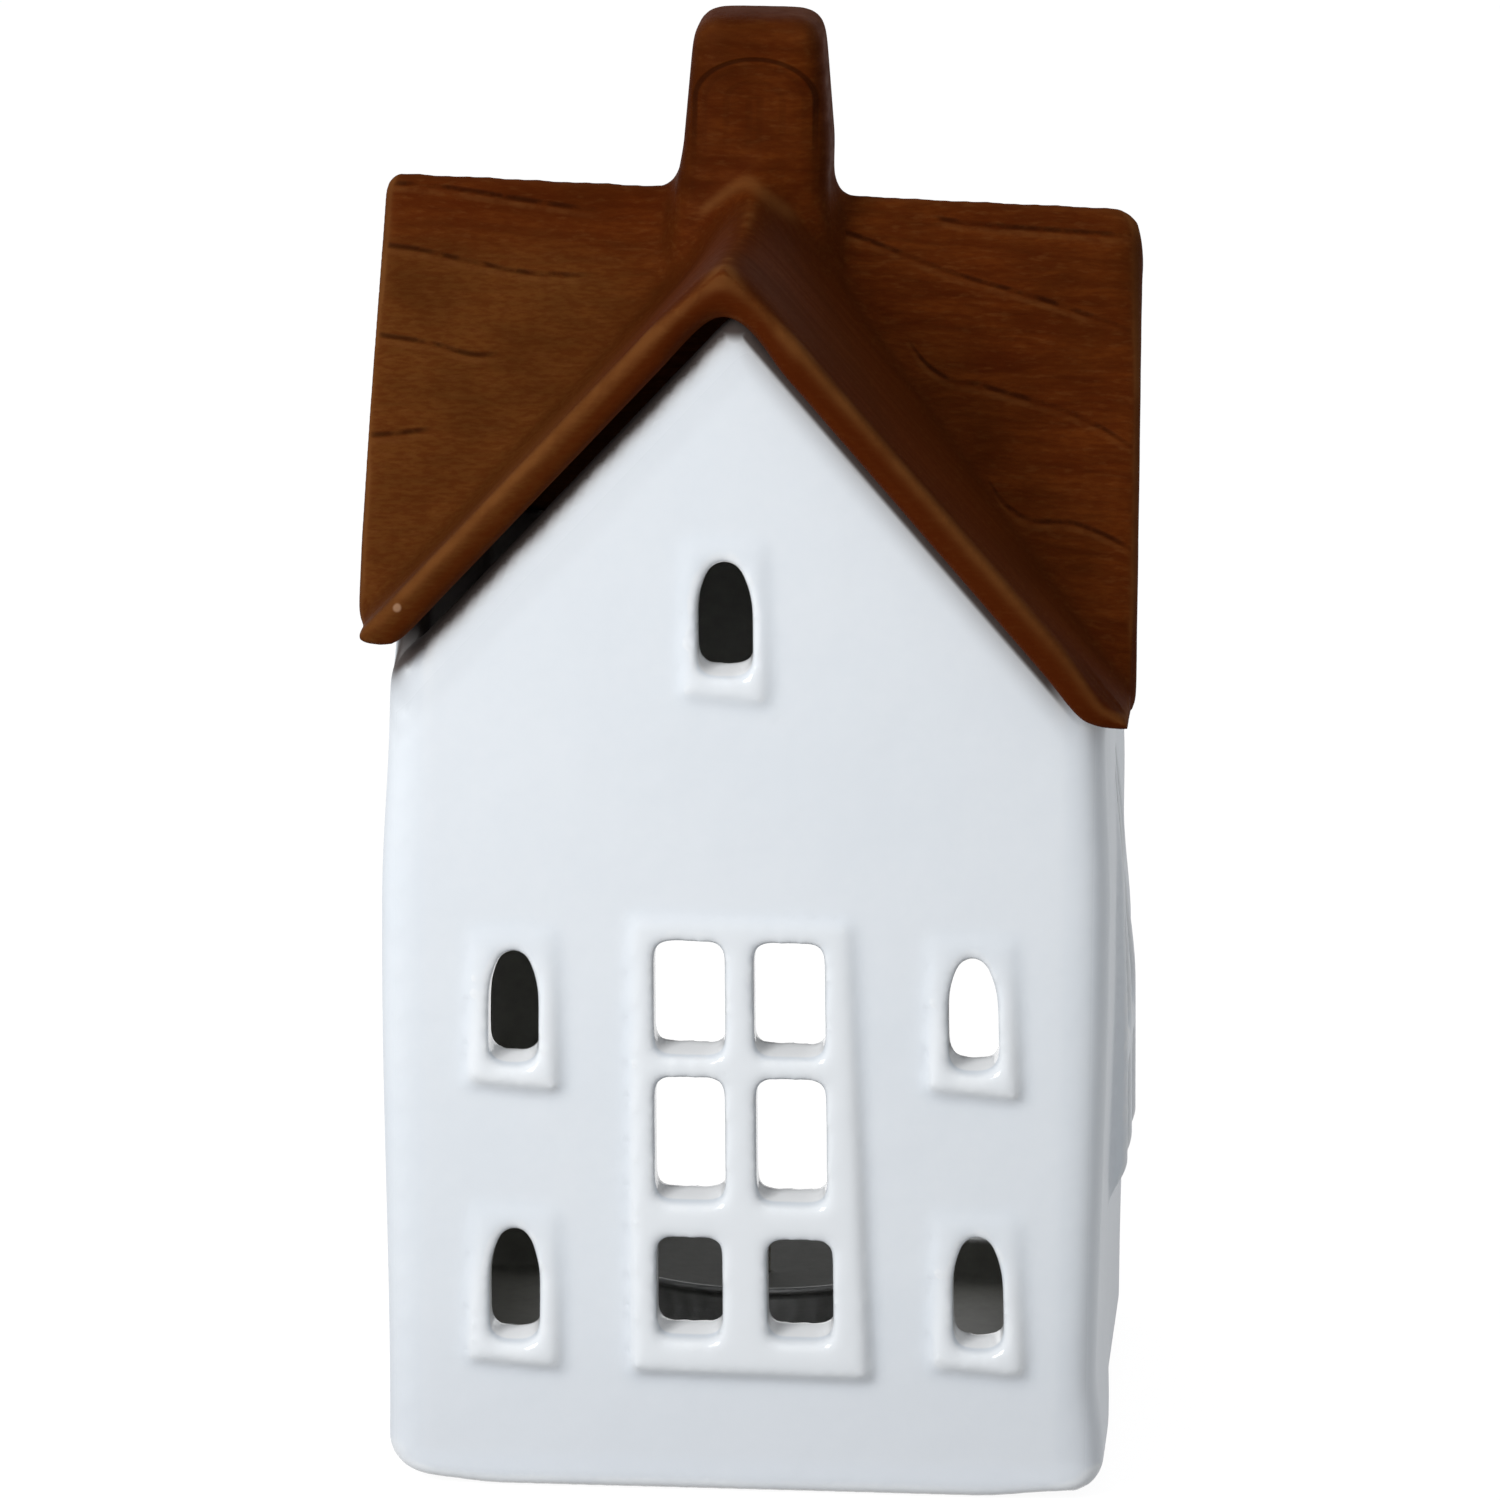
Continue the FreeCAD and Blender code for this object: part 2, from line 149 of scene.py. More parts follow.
# Lid's front ridge raised to a crest where it runs up against the chimney
CREST_LIFT = 3.2 * MM
CREST_LIFT_Y = (-26 * MM, -9 * MM)
CREST_LIFT_ASIDE = (8 * MM, 0)
CREST_LIFT_LOW_Z = (RIDGE_HEIGHT - 9 * MM, RIDGE_HEIGHT - 4 * MM)
CREST_LIFT_HIGH_Z = (RIDGE_HEIGHT + 8 * MM, RIDGE_HEIGHT + 1 * MM)

# Lid's main ridge: evened, with rounded ends, the left one first
RIDGE_EVENING_STEPS = 120
RIDGE_REGAIN = 1.04
MAIN_RIDGE_X = (11 * MM, 14 * MM)
MAIN_RIDGE_Y = (9 * MM, 4 * MM)
MAIN_RIDGE_Z = (RIDGE_HEIGHT - 14 * MM, RIDGE_HEIGHT - 8 * MM)
RIDGE_END_RADII = (2.4 * MM, 3.6 * MM)
RIDGE_END_Z = (RIDGE_HEIGHT - 22 * MM, RIDGE_HEIGHT - 2 * MM)
RIDGE_TOP_DEPTH = 6 * MM
RIDGE_TOP_HALF_WIDTH = 3 * MM

# Lid's right eave, drawn down and out at its front end
TIP_DROP = 1.0 * MM
TIP_SPREAD = 0.7 * MM
TIP_END_X = 43.9 * MM
TIP_Z = (104 * MM, 97 * MM)
TIP_OVERHANG_X = (34 * MM, 42.5 * MM)
TIP_OVERHANG_Y = (-40.8 * MM, -42 * MM)
TIP_EDGE_X = (40.5 * MM, 43.5 * MM)
TIP_SPREAD_X = (41 * MM, 43 * MM)
TIP_SPREAD_Y = (-10 * MM, -25 * MM)

# Lid as a whole, a little to the left, and the parts of it that have their own grain
ROOF_SHIFT = 0.4 * MM
ROOF_SHIFT_Z = (RIDGE_HEIGHT + 6 * MM, RIDGE_HEIGHT)
ROOF_MARGIN = 0.05 * MM
CHIMNEY_EDGE = (14 * MM, 11 * MM)
CHIMNEY_Z = (RIDGE_HEIGHT - 3 * MM, RIDGE_HEIGHT + 1 * MM)
FASCIA_FACING = -0.8
FASCIA_Y = -42 * MM
GABLE_SPREAD_STEPS = 3

# Colours, as linear red, green and blue
WHITE_DEEP = (0.785, 0.84, 0.90)
WHITE_PALE = (0.81, 0.86, 0.915)
# Darker white of glaze gathered in hollows, also painted shade near the foot
WHITE_GATHERED_AND_SHADED = (0.70, 0.74, 0.80)
# Paler white of thin glaze on edges, also painted light on the raised plates
WHITE_THIN_AND_LIT = (0.87, 0.905, 0.94)
# Painted light in the window reveals, against the shade of the recess
WHITE_REVEAL = (0.94, 0.955, 0.97)
INSIDE_DARK = (0.235, 0.235, 0.215)
INSIDE_PALE = (0.325, 0.325, 0.30)
GAP_SHADE = (0.045, 0.028, 0.022)
SPECK_COLOUR = (0.05, 0.04, 0.035)
BROWN_DEEP = (0.052, 0.0078, 0.0009)
BROWN_PALE = (0.118, 0.0255, 0.0032)
BROWN_YELLOW = (0.116, 0.041, 0.0080)
BROWN_RED = (0.066, 0.0095, 0.0009)
BROWN_SHADED = (0.036, 0.0076, 0.0006)
BROWN_LINE = (0.016, 0.0030, 0.0005)
# Pale brown of flecks and wear, also a painted highlight on upward-facing edges and the front edge
BROWN_WEAR_AND_HIGHLIGHT = (0.160, 0.058, 0.015)
PALE_SPOT_COLOUR = (0.42, 0.25, 0.15)
ALUMINIUM_DARK = (0.44, 0.445, 0.45)
ALUMINIUM_BRIGHT = (0.54, 0.545, 0.55)
STEEL_DARK = (0.42, 0.41, 0.39)
STEEL_BRIGHT = (0.52, 0.51, 0.49)
# Wax coloured dark grey as painted shade inside the house
WAX_DEEP = (0.38, 0.383, 0.373)
WAX_PALE = (0.47, 0.473, 0.463)
COTTON_DARK = (0.30, 0.28, 0.24)
COTTON_PALE = (0.48, 0.46, 0.41)
FLOOR_COLOUR = (0.42, 0.42, 0.42)
FLOOR_SEEN_COLOUR = (0.18, 0.18, 0.18)
FLOOR_SEEN_LIGHT = 0.93
PURE_WHITE = (1, 1, 1)

# Edges and hollows of both glazes, by how far the surface bends
THIN_BEND = (0.04, 0.13)
GATHERED_BEND = (-0.02, -0.11)

# White glaze, in millimetres: painted shade near the foot, painted light on raised plates and in
# window reveals
FOOT_SHADE_Z = (32.0, 2.0, 0.0, 0.4)
HOLLOW_GATHERED = 0.25
RAISED_PLATE_Y = (-40.7, -41.5, 0.0, 0.8)
REVEAL_Y = (-40.6, -40.1)
REVEAL_X = (37.0, 35.5)
SIDE_DULL_X = (HALF_WIDTH / MM - 1.2, HALF_WIDTH / MM - 0.2)
WHITE_ROUGHNESS = (0.0, 1.0, 0.13, 0.5)
WHITE_COAT = (0.0, 1.0, 0.2, 0.0)
# Rougher glaze where the painted shade lies
SHADE_ROUGHNESS = 0.5
# One dark speck beside the tall window
SPECK_PLACE = (11.0, -41.0, 43.3)
SPECK_RADIUS = 0.35
# Dark inside of the body, with painted shade in its upper corners
INSIDE_EDGE = ((HALF_WIDTH - WALL) / MM + 0.5, (HALF_WIDTH - WALL) / MM + 0.1)
INSIDE_Z = (FLOOR_LEVEL / MM - 0.8, FLOOR_LEVEL / MM - 0.4)
INSIDE_SHADE_CORNER_X = (15.0, 26.0)
INSIDE_SHADE_CORNER_Z = (56.0, 72.0, 0.0, 0.85)

# Painted shade under the lid. Right: lower edge of the lid's slope (height at x = 0, fall to the
# right), a thin dark line and a soft shade by the depth below it, and where they begin and end
EAVE_LINE_Z = 136.8
EAVE_LINE_SLOPE = 1.14
RIGHT_LINE = (3.1, 1.9, 0.0, 0.98)
RIGHT_SHADE = (7.0, 0.8, 0.0, 0.42)
RIGHT_START_X = (-3.0, 0.0)
RIGHT_END_X = (38.5, 34.0)
# Left: top of the wall's slope (height at x = 0, rise to the right), and the broad painted shade
# and dull glaze by the depth below it
WALL_TOP_Z = 140.0
WALL_TOP_SLOPE = 1.086
LEFT_PAINTED_SHADE = (3.8, 0.6, 0.0, 0.97)
LEFT_DULL = (7.5, 4.5, 0.0, 0.8)
LEFT_START_X = (1.5, -0.5)
# Painted shade on the tip of the front wall under the lid's inner corner
WALL_TIP_X = -1.8
WALL_TIP_ASIDE = (5.0, 3.0)
WALL_TIP_Z = (133.6, 133.6 + 2.2, 0.0, 0.98)
# Outer face of the front wall, the rims with painted shade, and the right front corner that stays
# white
FRONT_FACE_Y = (-36.0, -37.0)
RIM_Z = (129.0, 132.0)
WHITE_CORNER = (72.0, 62.0, 0.0, 0.97)

# Brown glaze: features a millimetre of its fibres and marks along x, y and z
SLOPE_FIBRE = (0.09, 0.5, 0.75)
GABLE_FIBRE = (0.07, 0.55, 0.8)
STACK_FIBRE = (0.16, 0.16, 0.6)
FIBRE_WANDER = (0.05, 0.1, 0.1)
FIBRE_WANDER_REACH = 5.0
DASH_GRAIN = (0.7, 1.6, 2.4)
DASH_TONE = (0.35, 0.65, 0.0, 0.45)
FLECK_GRAIN = (0.5, 1.3, 1.9)
FLECK_TONE = (0.52, 0.72, 0.0, 0.22)
CLOUD_TONE = (0.45, 0.7, 0.0, 0.4)
# Slopes of the lid: the front gable's, and the slight fall of the main ridge to the right
GABLE_SLOPE = 1.1
RIDGE_FALL = 0.03
# Yellower left slope and redder left ridge, by x and by the drop below the ridge
YELLOW_X = (-8.0, -24.0)
YELLOW_DROP = (3.0, 12.0)
YELLOW_LEFT = 0.6
YELLOW_CLOUDS = 0.18
RED_RIDGE_X = (0.0, -20.0)
RED_RIDGE_DROP = (12.0, 2.0, 0.0, 0.28)
# Shaded parts: the gable, hollows, and the chimney by the distance from its middle
GABLE_SHADED = 0.35
HOLLOW_SHADED = 0.55
STACK_SHADED = (5.0, 8.5, 0.12, 0.5)
# Lid's front edge, reddish below, and above worn with a painted highlight, most at its apex
EDGE_FACE_Y = (-42.8, -44.0)
FRONT_EDGE_Z = 143.7
FRONT_EDGE_RED = (FRONT_EDGE_Z, FRONT_EDGE_Z - 1.5, 0.0, 0.45)
FRONT_EDGE_WEAR_AND_HIGHLIGHT = (FRONT_EDGE_Z - 1.0, FRONT_EDGE_Z + 1.0)
FRONT_EDGE_FADE = (26.0, 3.0, 0.1, 0.95)
# Wear and a painted highlight on upward-facing edges: weak on the main slopes, strong on the gable
GABLE_WEAR_AND_HIGHLIGHT = (0.0, 0.5, 0.12, 0.7)
# One pale spot on the front edge, near its left tip
PALE_SPOT_PLACE = (-39.0, -44.8, 104.2)
PALE_SPOT_RADIUS = 0.65

# Lines of the carved grain on the main roof's front slope: each point is (x, drop below the ridge)
GRAIN_LINES = (
    ((-45, 1.9), (-41, 1.8), (-35, 2.2), (-27, 3.0), (-18, 3.7)),
    ((-46, 8.3), (-41, 8.4), (-35, 9.3), (-27, 10.3), (-18, 10.0)),
    ((-45, 17.4), (-38, 18.0), (-33, 18.9), (-29, 18.4)),
    ((-46, 27.8), (-41, 27.2), (-37, 26.6)),
    ((18, 2.6), (24, 3.1), (31, 3.3), (45, 3.6)),
    ((7, 4.0), (16, 6.7), (21, 8.2), (32, 10.6), (45, 14.2)),
    ((16, 14.8), (20, 18.6), (26, 19.9), (37, 22.6), (45, 26.6)),
    ((26, 28.8), (30, 32.6), (37, 33.4), (45, 36.6)),
)
GRAIN_REACH = 45.0
GRAIN_LINE_WIDTH = 0.42
GRAIN_DARK = (GRAIN_LINE_WIDTH, 0.1 * GRAIN_LINE_WIDTH)
GRAIN_PALE = (1.2 * GRAIN_LINE_WIDTH, 0.2 * GRAIN_LINE_WIDTH)
GRAIN_PALE_BELOW = 1.6 * GRAIN_LINE_WIDTH
GRAIN_START = (0.0, 0.08)
GRAIN_END = (1.0, 0.75)
FRONT_SLOPE_Y = (-0.2, -1.0)
PALE_EDGE_STRENGTH = 0.28
CARVED_STRENGTH = 0.72

# Arches of grain on the chimney, and the rings within them
ARCH_CENTRE_X = -1.5
ARCH_HALF_WIDTH = 7.0
ARCH_SPRING_Z = 156.4
ARCH_RISE = 4.8
ARCH_LINE = (0.07, 0.02)
ARCH_STRENGTH = 0.9
ARCH_LEGS_Z = (ARCH_SPRING_Z - 8.0, ARCH_SPRING_Z + 1.0, 0.1, 1.0)
RING_WAVE = 17.0
RING_REACH = (1.0, 0.8, 0.0, 0.2)

# Worn crest of the front ridge against the chimney
CREST_Z = 148.3
CREST_SLOPE = 0.85
CREST_ROUNDING = 1.2
CREST_HALF_WIDTH = 1.3
CREST_ASIDE = (6.5, 4.5)
CREST_BACK_Y = (-4.0, -7.0)
CREST_FRONT_Y = (-16.0, -12.0)
CREST_STRENGTH = 0.5

# Drawn metal of the tealight: features round the axis, outwards and upwards, and of its scratches
DRAWN_LINES = (2.0, 9.0, 9.0)
SCRATCH_GRAIN = (3.0, 0.25, 2.0)
COTTON_GRAIN = (9.0, 9.0, 2.5)

# Sockets of a Mix node that carry its two colours and its result
MIX_FIRST, MIX_SECOND, MIX_RESULT = 6, 7, 2

# Photograph's view: a long lens, a little to the right of the front and above it
PHOTO_PIXELS = 1500
FOCAL_PIXELS = 11118
SENSOR_WIDTH_MM = 36.0
CAMERA_AZIMUTH = math.radians(4.0)
CAMERA_ELEVATION = math.radians(13.0)
CAMERA_ROLL = math.radians(0.4)
CAMERA_DISTANCE = 1300 * MM
CAMERA_AIM = np.array((-2.1, 0, 78.3)) * MM
CAMERA_NEAR = 0.05
CAMERA_FAR = 20.0

# Studio: a round floor, a soft lamp from the upper left and even light from all round
STUDIO_FLOOR_RADIUS = 1.6
STUDIO_FLOOR_CORNERS = 96
STUDIO_FLOOR_Z = -0.05 * MM
KEY_PLACE = (-0.26, -0.38, 0.28)
KEY_AIM = (0, 0, 0.09)
KEY_SIZE = 0.18
KEY_POWER = 1.5
EVEN_LIGHT = 0.47


def placed(name, data):
    """New object of some data, in the scene."""
    thing = bpy.data.objects.new(name, data)
    bpy.context.scene.collection.objects.link(thing)
    return thing


def new_material(name):
    """New node material, its node tree and its Principled BSDF."""
    material = bpy.data.materials.new(name)
    material.use_nodes = True
    return material, material.node_tree, material.node_tree.nodes["Principled BSDF"]


def connect(source, target):
    """Gives an input its source: an output socket, a number, a vector or a colour."""
    if hasattr(source, "links"):
        target.id_data.links.new(source, target)
    elif target.type == "RGBA":
        target.default_value = (*source, 1.0)
    else:
        target.default_value = source


def feed(node, **sources):
    """Links or sets a node's inputs by name, with spaces written as underscores."""
    for name, source in sources.items():
        connect(source, node.inputs[name.replace("_", " ")])


def new_node(kind, *sources, **settings):
    """New node with some settings, fed with sources in the order of its inputs.

    It stands in the tree of the first source that is a socket.
    """
    tree = next(source.id_data for source in sources if hasattr(source, "links"))
    node = tree.nodes.new(kind)
    for name, value in settings.items():
        setattr(node, name, value)
    for source, target in zip(sources, node.inputs):
        connect(source, target)
    return node


def new_group(name, values, masks):
    """Shader node group that takes a place and some values with defaults, and puts out masks.

    Gives the group, the sockets that bring its inputs, and the node that takes its masks.
    """
    group = bpy.data.node_groups.new(name, "ShaderNodeTree")
    group.interface.new_socket("Place", in_out="INPUT", socket_type="NodeSocketVector")
    for value, default in values.items():
        socket = group.interface.new_socket(value, in_out="INPUT", socket_type="NodeSocketFloat")
        socket.default_value = default
    for mask in masks:
        group.interface.new_socket(mask, in_out="OUTPUT", socket_type="NodeSocketFloat")
    return group, group.nodes.new("NodeGroupInput").outputs, group.nodes.new("NodeGroupOutput")


def use_group(group, *sources):
    """Places a node group, fed with sources in the order of its inputs, and gives its outputs."""
    return new_node("ShaderNodeGroup", *sources, node_tree=group).outputs


def scaled(vector, scale):
    """The vector with each of its parts multiplied by the scale's part."""
    node = new_node("ShaderNodeMapping", vector)
    feed(node, Scale=scale)
    return node.outputs["Vector"]


def parted(vector):
    """The vector's x, y and z."""
    return tuple(new_node("ShaderNodeSeparateXYZ", vector).outputs)


def joined(x, y, z):
    """Vector of three sockets."""
    return new_node("ShaderNodeCombineXYZ", x, y, z).outputs["Vector"]


def millimetres(tree):
    """Object coordinates of the point that is shaded, in millimetres."""
    place = tree.nodes.new("ShaderNodeTexCoord").outputs["Object"]
    return scaled(place, (1 / MM, 1 / MM, 1 / MM))


def stored(tree, name):
    """Value stored at the mesh's corners."""
    node = tree.nodes.new("ShaderNodeAttribute")
    node.attribute_name = name
    return node.outputs["Fac"]


def noise(place, scale, detail=3.0, roughness=0.55):
    """Noise from 0 to 1; its scale is the features a millimetre, or those along x, y and z."""
    if isinstance(scale, tuple):
        place, scale = scaled(place, scale), 1.0
    node = new_node("ShaderNodeTexNoise", place)
    feed(node, Scale=scale, Detail=detail, Roughness=roughness)
    return node.outputs["Fac"]


def calculation(operation, *operands):
    """One Math node; each operand is a number or a socket."""
    return new_node("ShaderNodeMath", *operands, operation=operation).outputs["Value"]


def product(first, *others):
    """Product of numbers and sockets."""
    for other in others:
        first = calculation("MULTIPLY", first, other)
    return first


def greatest(first, *others):
    """Greatest of numbers and sockets."""
    for other in others:
        first = calculation("MAXIMUM", first, other)
    return first


def blended(share, first, second):
    """First value where the share is 0, second value where it is 1."""
    difference = calculation("SUBTRACT", second, first)
    return calculation("MULTIPLY_ADD", difference, share, first)


def size_of(value):
    """The value without its sign."""
    return calculation("ABSOLUTE", value)


def apart(value, centre):
    """Distance of the value from a centre."""
    return size_of(calculation("ADD", value, -centre))


def stretch(value, *ramp, easing="SMOOTHSTEP"):
    """The value carried along a ramp, and held at its ends.

    The ramp is (low, high), which are carried to 0 and 1, or (low, high, to_low, to_high).
    """
    node = new_node("ShaderNodeMapRange", value, *ramp, interpolation_type=easing)
    return node.outputs["Result"]


def mixed(share, first, second):
    """Two colours mixed by the share; each is a colour or a socket."""
    node = new_node("ShaderNodeMix", share, data_type="RGBA")
    connect(first, node.inputs[MIX_FIRST])
    connect(second, node.inputs[MIX_SECOND])
    return node.outputs[MIX_RESULT]


def painted(base, *layers):
    """The base colour under some layers, each of them a mask and its colour."""
    for mask, colour in layers:
        base = mixed(mask, base, colour)
    return base


def spot(place, centre, radius, strength):
    """Mask of one small round spot, full within half of its radius."""
    offset = new_node("ShaderNodeVectorMath", place, centre, operation="DISTANCE")
    return stretch(offset.outputs["Value"], radius, 0.5 * radius, 0.0, strength)


def bumped(shader, height, strength, distance):
    """Feeds a height to the shader's normal through a Bump node."""
    bump = shader.id_data.nodes.new("ShaderNodeBump")
    feed(bump, Height=height, Strength=strength, Distance=distance)
    feed(shader, Normal=bump.outputs["Normal"])


def seen_directly(tree):
    """1 for rays from the camera, off a gloss or through glass, and 0 for scattered light."""
    rays = tree.nodes.new("ShaderNodeLightPath").outputs
    return greatest(rays["Is Camera Ray"], rays["Is Glossy Ray"], rays["Is Transmission Ray"])


def smooth_step(low, high, values):
    """Share from 0 to 1, eased at both ends, of the way from low to high."""
    share = np.clip((values - low) / (high - low), 0, 1)
    return share * share * (3 - 2 * share)


def corners_merged(mesh, distance):
    """The mesh with the corners that lie within a distance of each other merged."""
    work = bmesh.new()
    work.from_mesh(mesh)
    bmesh.ops.remove_doubles(work, verts=work.verts, dist=distance)
    work.to_mesh(mesh)
    work.free()
    return mesh


def with_modifier(mesh, kind, **settings):
    """The mesh with one modifier applied to it."""
    holder = placed("holder", mesh)
    modifier = holder.modifiers.new("work", kind)
    for name, value in settings.items():
        setattr(modifier, name, value)
    depsgraph = bpy.context.evaluated_depsgraph_get()
    result = bpy.data.meshes.new_from_object(holder.evaluated_get(depsgraph))
    bpy.data.objects.remove(holder)
    bpy.data.meshes.remove(mesh)
    return result


def mesh_arrays(mesh):
    """Corner positions and edge ends of a mesh as arrays."""
    places = np.empty(3 * len(mesh.vertices))
    mesh.vertices.foreach_get("co", places)
    ends = np.empty(2 * len(mesh.edges), dtype=np.int64)
    mesh.edges.foreach_get("vertices", ends)
    return places.reshape(-1, 3), ends.reshape(-1, 2)


def corner_normals(mesh):
    """Normal at each corner of a mesh."""
    normals = np.empty(3 * len(mesh.vertices))
    mesh.vertices.foreach_get("normal", normals)
    return normals.reshape(-1, 3)


def store(mesh, name, values):
    """Stores one value at each corner of the mesh."""
    attribute = mesh.attributes.new(name, "FLOAT", "POINT")
    attribute.data.foreach_set("value", np.ascontiguousarray(values, dtype=np.float32).ravel())


def neighbour_mean(values, ends):
    """Mean of each corner's neighbours along the mesh's edges."""
    count = len(values)
    degree = np.bincount(ends.ravel(), minlength=count)
    total = np.empty_like(values)
    for column in range(values.shape[1]):
        part = values[:, column]
        total[:, column] = np.bincount(ends[:, 0], part[ends[:, 1]], count)
        total[:, column] += np.bincount(ends[:, 1], part[ends[:, 0]], count)
    return total / np.maximum(degree, 1)[:, None]


def softened(values, ends, steps):
    """Moves every corner's values halfway to its neighbours' mean, a number of times."""
    for _ in range(steps):
        values += SMOOTHING_PULL * (neighbour_mean(values, ends) - values)
    return values


def softened_part(places, ends, steps, share, regain=0.0):
    """Softens the corners whose share is above 0, each by its share.

    After each step, the corners move back by the regained part of such a step, which keeps the
    larger form and takes away only its fine waves.
    """
    used = ends[(share > 0)[ends].any(axis=1)]
    corners, local = np.unique(used, return_inverse=True)
    local = local.reshape(-1, 2)
    part = places[corners]
    pull = SMOOTHING_PULL * share[corners][:, None]
    for _ in range(steps):
        part += pull * (neighbour_mean(part, local) - part)
        if regain:
            part -= regain * pull * (neighbour_mean(part, local) - part)
    places[corners] = part
    return places


def valleys_filled(mesh, places, ends, steps):
    """Fills the hollows of the outer surface, where glaze gathers: corners only move outwards."""
    for _ in range(steps):
        mesh.vertices.foreach_set("co", places.ravel())
        mesh.update()
        normals = corner_normals(mesh)
        rise = np.einsum("ij,ij->i", neighbour_mean(places, ends) - places, normals)[:, None]
        rise = neighbour_mean(neighbour_mean(rise, ends), ends)
        outside = np.clip(normals[:, 2:] * VALLEY_FACING, 0, 1)
        places += SMOOTHING_PULL * np.maximum(rise, 0) * outside * normals
    return places


def mark_bends(mesh, steps):
    """Stores how far the surface bends outwards (positive) or inwards at each corner.

    The bend is the distance from a corner to its neighbours' mean along the normal, over the mean
    edge length squared, smoothed over the surface.
    """
    places, ends = mesh_arrays(mesh)
    lengths = np.linalg.norm(places[ends[:, 0]] - places[ends[:, 1]], axis=1)
    degree = np.bincount(ends.ravel(), minlength=len(places))
    squared = np.bincount(ends.ravel(), np.repeat(lengths ** 2, 2), len(places))
    squared = squared / np.maximum(degree, 1)
    offset = np.einsum("ij,ij->i", places - neighbour_mean(places, ends), corner_normals(mesh))
    store(mesh, "bend", softened((offset / squared * MM)[:, None], ends, steps))


def bulged_body(_mesh, places, ends):
    """Body's corners with worn eaves, bellied side walls, fading side plates and a drawn-in foot.

    Sideways move = belly(z) * edge(x), where the belly is greatest at half height. Near the foot,
    the left wall moves in by up to FOOT_DRAW as the square of the depth below FOOT_HEIGHT, and
    the right wall out by FOOT_SPREAD, and both edges of the foot lift by FOOT_LIFT. High up, the
    right wall draws in towards the back. x, y and height follow every move of the places.
    """
    x, y, height = places.T
    eaves = smooth_step(*EAVE_Z, height)
    eaves *= np.maximum(smooth_step(*EAVE_X, np.abs(x)), smooth_step(*EAVE_APEX_Z, height))
    softened_part(places, ends, EAVE_SMOOTHING_STEPS, eaves)
    post = smooth_step(*POST_EDGE, np.abs(x)) * smooth_step(*POST_EDGE, -y)
    post *= smooth_step(*POST_Z, height) * (np.abs(x) < POST_LIMIT_X)
    softened_part(places, ends, POST_SMOOTHING_STEPS, post)
    relief = np.maximum(np.abs(x) - HALF_WIDTH, 0)
    kept = smooth_step(*SIDE_PLATE_TOP_Z, height) * smooth_step(*SIDE_PLATE_FOOT_Z, height)
    x -= np.sign(x) * relief * (1 - kept)
    belly = BELLY * (smooth_step(*BELLY_LOW_Z, height) - smooth_step(*BELLY_HIGH_Z, height))
    x += np.sign(x) * (belly + EDGE_REGAIN) * smooth_step(*SIDE_WALL_X, np.abs(x))
    depth = np.clip(1 - height / FOOT_HEIGHT, 0, 1)
    x += FOOT_DRAW * smooth_step(0, HALF_WIDTH, -x) * depth ** 2
    right = smooth_step(*SIDE_WALL_X, x)
    spread = smooth_step(*FOOT_SPREAD_LOW_Z, height) * smooth_step(*FOOT_SPREAD_HIGH_Z, height)
    x += FOOT_SPREAD * right * spread * smooth_step(*FOOT_SPREAD_Y, y)
    front = smooth_step(*FOOT_FORWARD_Y, y) * depth ** 2
    y -= FOOT_FORWARD * front * smooth_step(*FOOT_FORWARD_Z, height + FOOT_SOLE)
    x -= BACK_DRAW * right * smooth_step(*BACK_DRAW_Z, height) * smooth_step(*BACK_DRAW_Y, y)
    height += FOOT_LIFT * smooth_step(*FOOT_LIFT_X, np.abs(x)) * depth
    return places


def beside_front_ridge(x, y):
    """Distance to the side of the front gable's ridge, which runs a little out of square."""
    return np.abs(x - GABLE_APEX_X - RIDGE_SKEW * (y + HALF_DEPTH))


def front_ridge(places):
    """Share from 0 to 1 of how near a corner is to the front gable's ridge."""
    x, y, height = places.T
    near = smooth_step(*FRONT_RIDGE_ASIDE, beside_front_ridge(x, y))
    near *= smooth_step(*FRONT_RIDGE_LOW_Z, height)
    return near * smooth_step(*FRONT_RIDGE_Y, y) * smooth_step(*FRONT_RIDGE_HIGH_Z, height)


def main_ridge(places):
    """Share from 0 to 1 of how near a corner is to the main ridge."""
    x, y, height = places.T
    near = smooth_step(*MAIN_RIDGE_Y, np.abs(y)) * smooth_step(*MAIN_RIDGE_X, np.abs(x))
    return near * smooth_step(*MAIN_RIDGE_Z, height)


def ridge_ends_rounded(places):
    """Both ends of the main ridge lowered along a quarter circle, as seen from the front.

    Drop = R - sqrt(R^2 - (R - u)^2) at a distance u below R from the end, and it fades out on the
    way down to the middle of the slopes.
    """
    x, y, height = places.T
    top = (height > RIDGE_HEIGHT - RIDGE_TOP_DEPTH) & (np.abs(y) < RIDGE_TOP_HALF_WIDTH)
    upper = smooth_step(*RIDGE_END_Z, height)
    for side, radius in zip((-1, 1), RIDGE_END_RADII):
        end = (side * x[top]).max()
        inset = np.clip(radius - (end - side * x), 0, radius)
        drop = radius - np.sqrt(radius ** 2 - inset ** 2)
        height -= drop * upper
    return places


def crest_raised(places):
    """Front ridge's corners raised by up to CREST_LIFT where it runs up against the chimney."""
    x, y, height = places.T
    lift = smooth_step(*CREST_LIFT_ASIDE, beside_front_ridge(x, y)) * (y < 0)
    lift *= smooth_step(*CREST_LIFT_Y, y) * smooth_step(*CREST_LIFT_LOW_Z, height)
    height += CREST_LIFT * lift * smooth_step(*CREST_LIFT_HIGH_Z, height)
    return places


